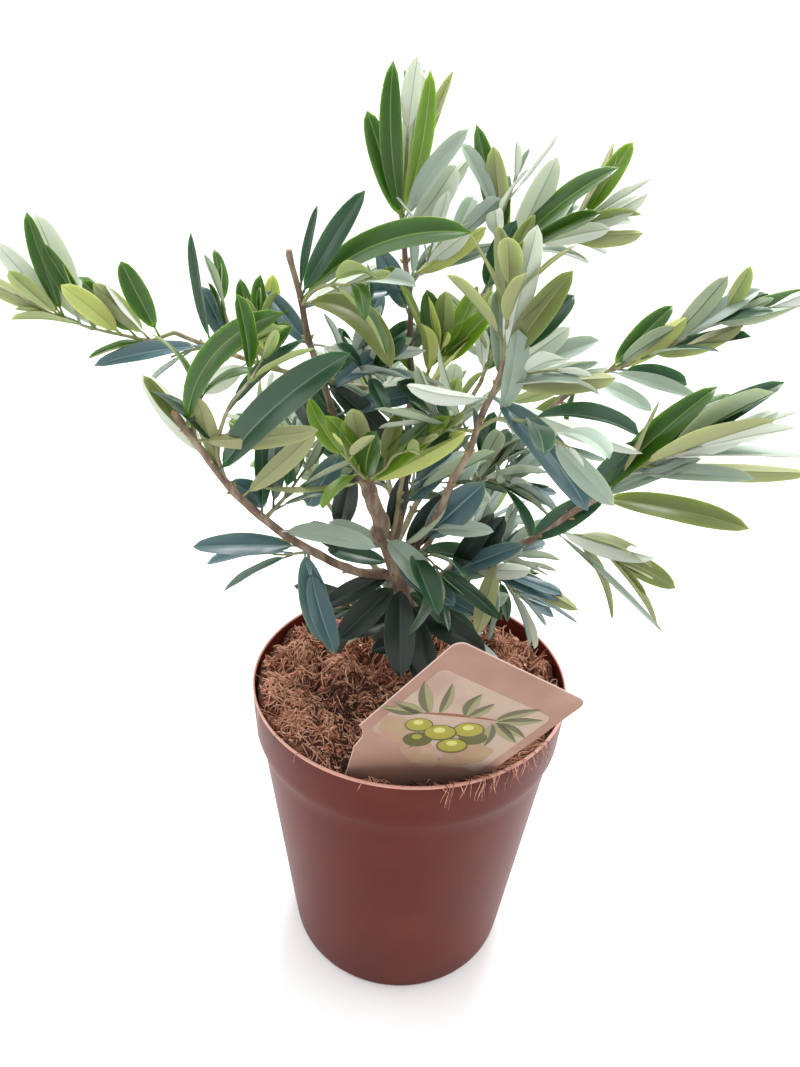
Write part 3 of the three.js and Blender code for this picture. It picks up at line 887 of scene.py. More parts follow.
@dataclass
class Leaf:
    """One olive leaf: a narrow folded blade with a midrib, a margin paled as a painted edge highlight and a
    short stalk.
    """

    foot: Vector
    direction: Vector
    facing: Vector
    length: float
    tone: Tone = Tone.MATURE
    width: float = 0.0
    arch: float = 18.0
    fold: float = 20.0
    twist: float = 0.0
    sway: float = 0.0
    stalk: float = 3.0 * MM
    stations: int = 12
    thickness: float = 0.32 * MM
    widest: float = 0.52
    taper: float = 0.62

    def outline(self, share: float) -> float:
        """Gives the blade's half width, which comes to a point at both ends.

        Args:
            share: the place's share of the blade's length.

        Returns:
            The half width there.
        """
        to_tip = self.taper * (1 - self.widest) / self.widest
        peak = self.widest ** self.taper * (1 - self.widest) ** to_tip
        return 0.5 * self.width * share ** self.taper * (1 - share) ** to_tip / peak

    def build(self, maker: MeshMaker, first_slot: int) -> None:
        """Adds the leaf's blade and stalk.

        Args:
            maker: gathers the faces.
            first_slot: the slot of the tone's upper finish.
        """
        along = self.direction.normalized()
        up = square_to(along, self.facing)
        side = along.cross(up)
        step = self.length / self.stations
        place = self.foot + along * self.stalk
        self.add_stalk(maker, along, place, first_slot)
        top_rows, low_rows = [], []
        bend, drift, turn = (math.radians(a / self.stations) for a in (-self.arch, self.sway, self.twist))
        for i in range(self.stations + 1):
            share = i / self.stations
            top, low = self.row(maker, share, place, along, up, side)
            top_rows.append(top)
            low_rows.append(low)
            along, up = spun(along, up, bend)
            along, side = spun(along, side, drift)
            up, side = spun(up, side, turn)
            place = place + along * step
        self.add_faces(maker, top_rows, low_rows, first_slot)

    def row(
        self, maker: MeshMaker, share: float, place: Vector, along: Vector, up: Vector, side: Vector,
    ) -> tuple[list[int], list[int]]:
        """Adds one row of points across the blade, above and below.

        Args:
            maker: gathers the points.
            share: the row's share of the blade's length.
            place: the midrib's place.
            along: the blade's direction there.
            up: the direction of its upper face.
            side: the direction across it.

        Returns:
            The point numbers above and those below, which share their two outer points.
        """
        half = max(0.16 * MM, self.outline(share))
        fade = min(1.0, 5 * share, 5 * (1 - share) + 0.25)
        rise = math.tan(math.radians(self.fold)) * half
        ripple = 0.05 * half * math.sin(11 * share + 7 * self.length / MM)
        top, low = [], []
        for u in ACROSS:
            lift = rise * abs(u) ** 1.25 + ripple * u
            groove = -0.55 * self.thickness * (1 - abs(u) / RIB_EDGE) if abs(u) < RIB_EDGE else 0.0
            ridge = 1.1 * self.thickness * (1 - abs(u) / RIB_EDGE) if abs(u) < RIB_EDGE else 0.0
            middle = place + side * (half * u) + up * lift
            thick = 0.5 * self.thickness * (1 - abs(u) ** 6) * fade
            top.append(maker.point(middle + up * (thick + groove * fade)))
            low.append(top[-1] if abs(u) == 1 else maker.point(middle - up * (thick + ridge * fade)))
        return top, low

    def add_faces(
        self, maker: MeshMaker, top_rows: list[list[int]], low_rows: list[list[int]], first_slot: int,
    ) -> None:
        """Joins the rows into a closed blade, with a finish for each strip.

        Args:
            maker: gathers the faces.
            top_rows: point numbers of the rows above.
            low_rows: point numbers of the rows below.
            first_slot: the slot of the tone's upper finish.
        """
        for j in range(len(ACROSS) - 1):
            middle = abs(ACROSS[j] + ACROSS[j + 1]) / 2
            above, below = LeafSlot.UPPER, LeafSlot.UNDER
            if middle < RIB_EDGE:
                above = below = LeafSlot.RIB
            # The outer strip of the upper face takes the margin's painted edge highlight.
            elif middle > MARGIN_EDGE:
                above = LeafSlot.MARGIN
            for row, after in zip(top_rows, top_rows[1:]):
                maker.face((row[j], row[j + 1], after[j + 1], after[j]), first_slot + above)
            for row, after in zip(low_rows, low_rows[1:]):
                maker.face((row[j + 1], row[j], after[j], after[j + 1]), first_slot + below)
        start = top_rows[0] + low_rows[0][-2:0:-1]
        end = top_rows[-1] + low_rows[-1][-2:0:-1]
        maker.face(start[::-1], first_slot + LeafSlot.RIB)
        maker.face(end, first_slot + LeafSlot.RIB)

    def add_stalk(self, maker: MeshMaker, along: Vector, end: Vector, first_slot: int) -> None:
        """Adds the short stalk that thickens towards the shoot.

        Args:
            maker: gathers the faces.
            along: the stalk's direction.
            end: where the blade starts.
            first_slot: the slot of the tone's upper finish.
        """
        start = self.foot - along * 0.4 * MM
        thin = 0.36 * MM + 0.004 * self.length
        line = Path([start, start.lerp(end, 0.5), end + along * 0.8 * MM])
        slot = first_slot + LeafSlot.RIB
        sweep(maker, line, 6, lambda share, _a: thin * (1.25 - 0.45 * share), slot, dome=0.1)


class LeafPress:
    """Gathers leaves into joined pieces, each of one region and its tones."""

    def __init__(self) -> None:
        """Starts with no pieces."""
        self.makers: dict[str, MeshMaker] = {}
        self.nodes: dict[str, set[str]] = {}
        self.leaf_finishes = [f for tone in Tone for f in LEAF_FINISHES[tone].finishes()]
        self.count = 0

    def maker(self, growth: Growth, region: Region, finishes: Sequence[Finish]) -> MeshMaker:
        """Gives the piece that gathers one kind of growth in a region.

        Args:
            growth: the kind of growth.
            region: the region of the crown.
            finishes: the finishes of the piece.

        Returns:
            The piece's maker, made at its first use.
        """
        name = f"{growth.value}_{region.value}"
        if name not in self.makers:
            self.makers[name] = MeshMaker(name, finishes)
            self.nodes[name] = set()
        return self.makers[name]

    def lay(self, leaf: Leaf, region: Region, node: Optional[str] = None) -> None:
        """Adds a leaf to its region's piece.

        Args:
            leaf: the leaf.
            region: the region of the crown.
            node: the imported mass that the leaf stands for.
        """
        maker = self.maker(Growth.LEAVES, region, self.leaf_finishes)
        leaf.build(maker, len(LeafSlot) * list(Tone).index(leaf.tone))
        self.count += 1
        if node:
            self.nodes[maker.name].add(node)

    def finish(self) -> None:
        """Makes every gathered piece."""
        for name, maker in self.makers.items():
            slot = "foliage" if name.startswith(Growth.LEAVES.value) else "bark"
            maker.make(sorted(self.nodes[name]), slot)
        LOG.info("%d leaves", self.count)


# ---------- shoots
@dataclass
class Shoot:
    """A leafy twig: opposite pairs of leaves, each pair turned a quarter from the last."""

    press: LeafPress
    region: Region
    node: str
    rng: random.Random
    path: Path
    pairs: int
    leaf: float
    palette: tuple[Tone, ...]
    spread: float
    thick: float = 0.85 * MM
    bare: float = 0.12
    lift: float = 0.25
    droop: float = 16.0
    tip_size: float = 0.55
    base_size: float = 0.8
    turn: float = 0.0
    roll: float = 22.0
    skip: float = 0.06
    terminal: bool = True
    woody: bool = False

    def build(self) -> None:
        """Grows the twig's wood and its leaves."""
        rng = self.rng
        wood = self.press.maker(Growth.TWIGS, self.region, (GREEN_TWIG, YOUNG_BARK, BUD))
        sweep(wood, self.path, 8, self.radius, TwigSlot.WOODY if self.woody else TwigSlot.GREEN)
        tone = rng.choice(self.palette)
        for k in range(self.pairs):
            share = self.bare + (1 - self.bare) * (k + 0.5) / self.pairs * 0.97
            size = self.size_at(share) * rng.uniform(0.86, 1.12)
            axis = self.turn + 90 * k + rng.uniform(-12, 12)
            for side in (0, 180):
                if rng.random() < self.skip:
                    continue
                shade = rng.choice(self.palette) if rng.random() < 0.28 else tone
                length = size * rng.uniform(0.9, 1.1)
                self.add_leaf(share, axis + side, length, shade)
        if self.terminal:
            self.add_terminal(tone)
            self.add_tip_bud(wood)

    def radius(self, share: float, _angle: float) -> float:
        """Gives the twig's radius: a taper that swells a little at each pair.

        Args:
            share: the place's share of the length.

        Returns:
            The radius.
        """
        gap = self.path.length / max(1, self.pairs)
        swelling = math.exp(-(((share * self.path.length) % gap) / (1.2 * MM)) ** 2)
        return self.thick * (1 - 0.55 * share) * (1 + 0.16 * swelling)

    def size_at(self, share: float) -> float:
        """Gives a leaf's length, longest in the middle of the shoot.

        Args:
            share: its share of the shoot's length.

        Returns:
            The length.
        """
        peak = 0.5
        if share < peak:
            return self.leaf * (self.base_size + (1 - self.base_size) * share / peak)
        return self.leaf * (1 + (self.tip_size - 1) * ((share - peak) / (1 - peak)) ** 2)

    def add_leaf(self, share: float, azimuth: float, size: float, tone: Tone) -> None:
        """Adds one leaf.

        Args:
            share: its place along the twig.
            azimuth: its turn round the twig in degrees.
            size: its length.
            tone: its tone.
        """
        rng = self.rng
        along = self.path.along(share)
        across = square_to(along, UP if abs(along.z) < 0.9 else Vector((1, 0, 0)))
        other = along.cross(across)
        out = across * math.cos(math.radians(azimuth)) + other * math.sin(math.radians(azimuth))
        opening = math.radians(self.spread * rng.uniform(0.78, 1.18) * (1.12 - 0.34 * share))
        direction = along * math.cos(opening) + out * math.sin(opening)
        direction = (direction + UP * self.lift * rng.uniform(0.4, 1.4)).normalized()
        facing = along * 0.9 + UP * 0.75 - out * 0.1
        facing = (Matrix.Rotation(math.radians(rng.gauss(0, self.roll)), 3, direction) @ facing).normalized()
        self.press.lay(Leaf(
            foot=self.path.at(share) + out * self.thick * 0.5, direction=direction, facing=facing,
            length=size, tone=tone, width=size * (rng.uniform(0.33, 0.4) - 2.8 * size),
            arch=self.droop * rng.uniform(-0.4, 2.0), fold=rng.uniform(8, 30), twist=rng.gauss(0, 16),
            sway=rng.gauss(0, 10), widest=rng.uniform(0.46, 0.6), stalk=rng.uniform(2.2, 3.8) * MM,
        ), self.region, self.node)

    def add_terminal(self, tone: Tone) -> None:
        """Adds the small upright pair that closes the shoot.

        Args:
            tone: the pair's tone.
        """
        rng = self.rng
        along = self.path.along(1.0)
        across = square_to(along, level_and_rise(self.turn + 47, 20))
        for side in (1, -1):
            out = across * side
            size = self.leaf * self.tip_size * rng.uniform(0.62, 0.9)
            self.press.lay(Leaf(
                foot=self.path.at(1.0),
                direction=along + out * rng.uniform(0.18, 0.4), facing=along * 0.4 - out,
                length=size, tone=tone, width=size * 0.24, arch=rng.uniform(-14, 10), fold=32.0,
                stalk=1.2 * MM, twist=rng.gauss(0, 8),
            ), self.region, self.node)

    def add_tip_bud(self, wood: MeshMaker) -> None:
        """Adds the pointed bud between the last pair.

        Args:
            wood: gathers the twigs' faces.
        """
        tip = self.path.at(1.0)
        end = tip + self.path.along(1.0) * 2.4 * MM
        line = Path([tip, tip.lerp(end, 0.4), tip.lerp(end, 0.8), end])
        sweep(wood, line, 6, lambda share, _a: 0.6 * MM * (1.05 - share ** 1.5), TwigSlot.BUD, dome=0.6)


@dataclass
class MassPlan:
    """How one packed mass of foliage becomes leafy shoots, with its lengths in millimetres."""

    REACH = 3.0 * MM
    LEAF_TURN = 137.5

    node: str
    limb: str
    pairs: int
    leaf: float
    palette: tuple[Tone, ...]
    region: Region
    spread: float
    sides: int = 0
    lift: float = 0.25
    droop: float = 16.0
    bare: float = 0.1
    skip: float = 0.06
    woody: bool = False
    short: float = 0.62
    sink: float = 0.0
    sag: float = 0.0

    def grow(self, paths: dict[str, Path], press: LeafPress) -> None:
        """Grows the mass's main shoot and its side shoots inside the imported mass.

        Args:
            paths: the limbs' centrelines by node, which gain this shoot's own.
            press: gathers the leaves and twigs.
        """
        rng = random.Random(self.node)
        stem = paths[self.limb]
        node = f"foliage_{self.node}"
        places = [v.co for v in frame["nodes"][node].data.vertices]
        gaps = {i: (stem.at(stem.nearest(p)) - p).length for i, p in enumerate(places)}
        far = places[max(gaps, key=gaps.get)]
        near = [places[i] for i, gap in gaps.items() if gap < min(gaps.values()) + self.REACH]
        close = max(near, key=lambda p: (p - far).length)
        shape = PackedShape(node, close)
        start = stem.at(stem.nearest(close))
        inner = shape.path
        leaf = self.leaf * MM
        reach = max(0.35, 1 - self.short * leaf / inner.length)
        points = [start, start.lerp(inner.at(0.15), 0.6)]
        points += [inner.at(reach * k / 5) for k in range(1, 6)]
        last = len(points) - 1
        for k, place in enumerate(points):
            share = math.pi * k / last
            place -= UP * MM * (self.sink * math.sin(share) + self.sag * math.sin(share / 2))
        path = Path(points).smoothed(2.5 * MM)
        paths[self.node] = path
        Shoot(
            press, self.region, node, rng, path, self.pairs, leaf, self.palette, self.spread,
            lift=self.lift, droop=self.droop, bare=self.bare, skip=self.skip, terminal=self.pairs > 1,
            thick=0.95 * MM if self.woody else 0.8 * MM, woody=self.woody,
        ).build()
        for i in range(self.sides):
            self.add_side(path, shape, i, press, node, rng)

    def add_side(
        self, path: Path, shape: PackedShape, number: int, press: LeafPress, node: str, rng: random.Random,
    ) -> None:
        """Adds one side shoot, turned round the main one from the last.

        Args:
            path: the main shoot's line.
            shape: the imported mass, which gives the side shoot its reach.
            number: the side shoot's number.
            press: gathers the leaves and twigs.
            node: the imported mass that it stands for.
            rng: the mass's own seeded numbers.
        """
        share = 0.22 + 0.55 * (number + 0.5) / self.sides
        along = path.along(share)
        across = square_to(along, UP)
        azimuth = math.radians(self.LEAF_TURN * number + rng.uniform(-20, 20))
        out = across * math.cos(azimuth) + along.cross(across) * math.sin(azimuth)
        reach = max(9 * MM, shape.width(share) * rng.uniform(0.7, 1.0))
        start = path.at(share)
        aim = (out + along * 0.55 + UP * 0.25).normalized()
        points = [start + aim * reach * s + along * reach * 0.22 * s * s for s in (0, 0.33, 0.66, 1.0)]
        Shoot(
            press, self.region, node, rng, Path(points).smoothed(2 * MM), max(2, self.pairs - 2),
            self.leaf * MM * rng.uniform(0.66, 0.85), self.palette, self.spread, lift=self.lift,
            droop=self.droop, turn=50 * number, thick=0.65 * MM, bare=0.15, skip=self.skip,
        ).build()


# Short names of the tones and regions, for the two tables that follow; D is the painted-shade tone.
B, F, O, M, BL, S, D = Tone
LEFT, MIDDLE, TOP, RIGHT, HEART, BACK = Region

MASS_PLANS = (
    MassPlan("left_tip", "bough_left_long", 4, 27, (F, S, B), LEFT, 40, lift=0.8, sag=25, short=0.7),
    MassPlan("left_sprig", "bough_left_long", 3, 23, (B, F, F), LEFT, 32, lift=0.4),
    MassPlan("left_upright", "bough_left_long", 2, 22, (F, M), LEFT, 28, lift=0.5),
    MassPlan("left_drop", "bough_left_long", 1, 26, (BL, M), LEFT, 20, lift=0.0, short=1),
    MassPlan("left_fan", "bough_left_low", 3, 36, (M, F), LEFT, 36, droop=24, woody=True, skip=0.3),
    MassPlan("left_arch", "bough_left_low", 2, 30, (F, O), LEFT, 28, droop=34),
    MassPlan("left_end", "bough_left_low", 1, 24, (S, M, O), LEFT, 34, lift=0.4, short=1),
    MassPlan("left_under", "bough_left_low", 1, 28, (BL,), LEFT, 20, lift=-0.15, droop=20, short=1),
    MassPlan("left_level", "bough_left_low", 1, 28, (BL, M), LEFT, 20, lift=0.0, short=1),
    MassPlan("left_inner", "bough_left_low", 3, 34, (M, S, D), LEFT, 42, woody=True),
    MassPlan("leader_left", "bough_leader", 2, 24, (F, O, B), MIDDLE, 40, lift=0.3, droop=22, skip=0.2),
    MassPlan("leader_right", "bough_leader", 2, 24, (B, O, F), MIDDLE, 34, lift=0.15, droop=22, skip=0.2),
    MassPlan("leader_fall", "trunk", 4, 34, (BL, S, M), MIDDLE, 40, lift=-0.1, droop=26),
    MassPlan("mid_left_crown", "bough_left_mid", 2, 27, (F, M, S), TOP, 34, lift=0.0, droop=34,
             bare=0.4, sag=12),
    MassPlan("mid_left_low", "bough_left_mid", 4, 34, (M, BL, S), TOP, 44, sides=2),
    MassPlan("top_spray", "bough_top", 2, 26, (F, S, F), TOP, 26, lift=0.45),
    MassPlan("top_side", "bough_top", 4, 28, (S, BL, M), TOP, 38, sides=1),
    MassPlan("mid_rosette", "bough_mid", 4, 30, (B, F, M), TOP, 44, lift=0.3),
    MassPlan("crown_mid", "bough_mid", 3, 27, (F, S, S), TOP, 34, lift=0.4),
    MassPlan("crown_right", "bough_mid", 7, 28, (S, F, S, O), RIGHT, 34, lift=0.25, short=0.9),
    MassPlan("right_up_top", "bough_right_up", 4, 27, (O, F, S, M), RIGHT, 38, lift=0.35),
    MassPlan("right_up_side", "bough_right_up", 3, 28, (M, F, S), RIGHT, 40),
    MassPlan("right_up_fall", "bough_right_up", 3, 32, (S, M), RIGHT, 36, droop=34, skip=0.25),
    MassPlan("right_up_inner", "bough_right_up", 3, 27, (M, S), RIGHT, 40),
    MassPlan("right_back_top", "bough_right_back", 4, 26, (F, M, B), RIGHT, 42),
    MassPlan("far_right", "bough_right_back", 5, 33, (F, O, S, M), RIGHT, 25, woody=True, sink=4,
             short=0.85, lift=0.15),
    MassPlan("right_tip", "bough_right_low", 4, 40, (M, S, O, F), RIGHT, 24, woody=True, sink=-2,
             short=0.84, lift=0.12),
    MassPlan("right_side", "bough_right_low", 2, 32, (S, O), RIGHT, 28, lift=0.0, droop=24),
    MassPlan("right_under", "bough_right_low", 3, 30, (S, BL, M), RIGHT, 36, lift=0.0),
    MassPlan("heart_right", "bough_right_back", 5, 33, (S, BL, M), HEART, 46, sides=3, woody=True),
    MassPlan("heart_mid", "bough_mid", 5, 32, (D, M, S), HEART, 48, sides=3, woody=True),
    MassPlan("skirt_left", "trunk", 3, 30, (D, M, BL), HEART, 40, lift=0.0),
    MassPlan("skirt_right", "trunk", 4, 30, (M, S, D), HEART, 42, sides=1, lift=0.0),
    MassPlan("skirt_back", "trunk", 4, 30, (M, D, S), HEART, 44, sides=2, lift=0.05),
    *(
        MassPlan(node, limb, pairs, 32, palette, BACK, 42, sides=sides, woody=True)
        for node, limb, pairs, palette, sides in (
            ("back_left_end", "bough_back_left", 6, (M, F, S), 3),
            ("back_left_side", "bough_back_left", 5, (M, BL, S), 2),
            ("back_mid_end", "bough_back_mid", 6, (F, S, M), 3),
            ("back_mid_side", "bough_back_mid", 5, (M, S, F), 2),
            ("back_low_end", "bough_back_low", 6, (M, BL, F), 3),
            ("back_low_side", "bough_back_low", 6, (M, S, BL), 3),
            ("left_back_end", "bough_left_back", 5, (M, F, S), 3),
        )
    ),
)


@dataclass(frozen=True)
class SetLeaf:
    """One listed leaf, where the crown's look depends on it, with its lengths in millimetres."""

    share: float
    heading: float
    pitch: float
    length: float
    tone: Tone
    width: float
    arch: float = 20.0
    tilt: float = 50.0
    roll: float = 0.0
    sway: float = 0.0
    under: bool = False
    fold: float = 16.0

    def leaf(self, path: Path) -> Leaf:
        """Gives the leaf, grown from a limb or shoot.

        Args:
            path: the centreline that it grows from.

        Returns:
            The leaf, whose tip lies in its heading and pitch from its foot.
        """
        chord = level_and_rise(self.heading, self.pitch)
        facing = level_and_rise(-90, self.tilt) * (-1 if self.under else 1)
        up = Matrix.Rotation(math.radians(self.roll), 3, chord) @ square_to(chord, facing)
        side = chord.cross(up)
        half, drift = math.radians(self.arch / 2), math.radians(self.sway / 2)
        start = chord * math.cos(half) + up * math.sin(half) - side * math.sin(drift)
        return Leaf(
            foot=path.at(self.share), direction=start, facing=up, length=self.length * MM, tone=self.tone,
            width=self.width * MM, arch=self.arch, sway=self.sway, fold=self.fold,
            stalk=4 * MM, thickness=0.36 * MM, stations=14,
        )


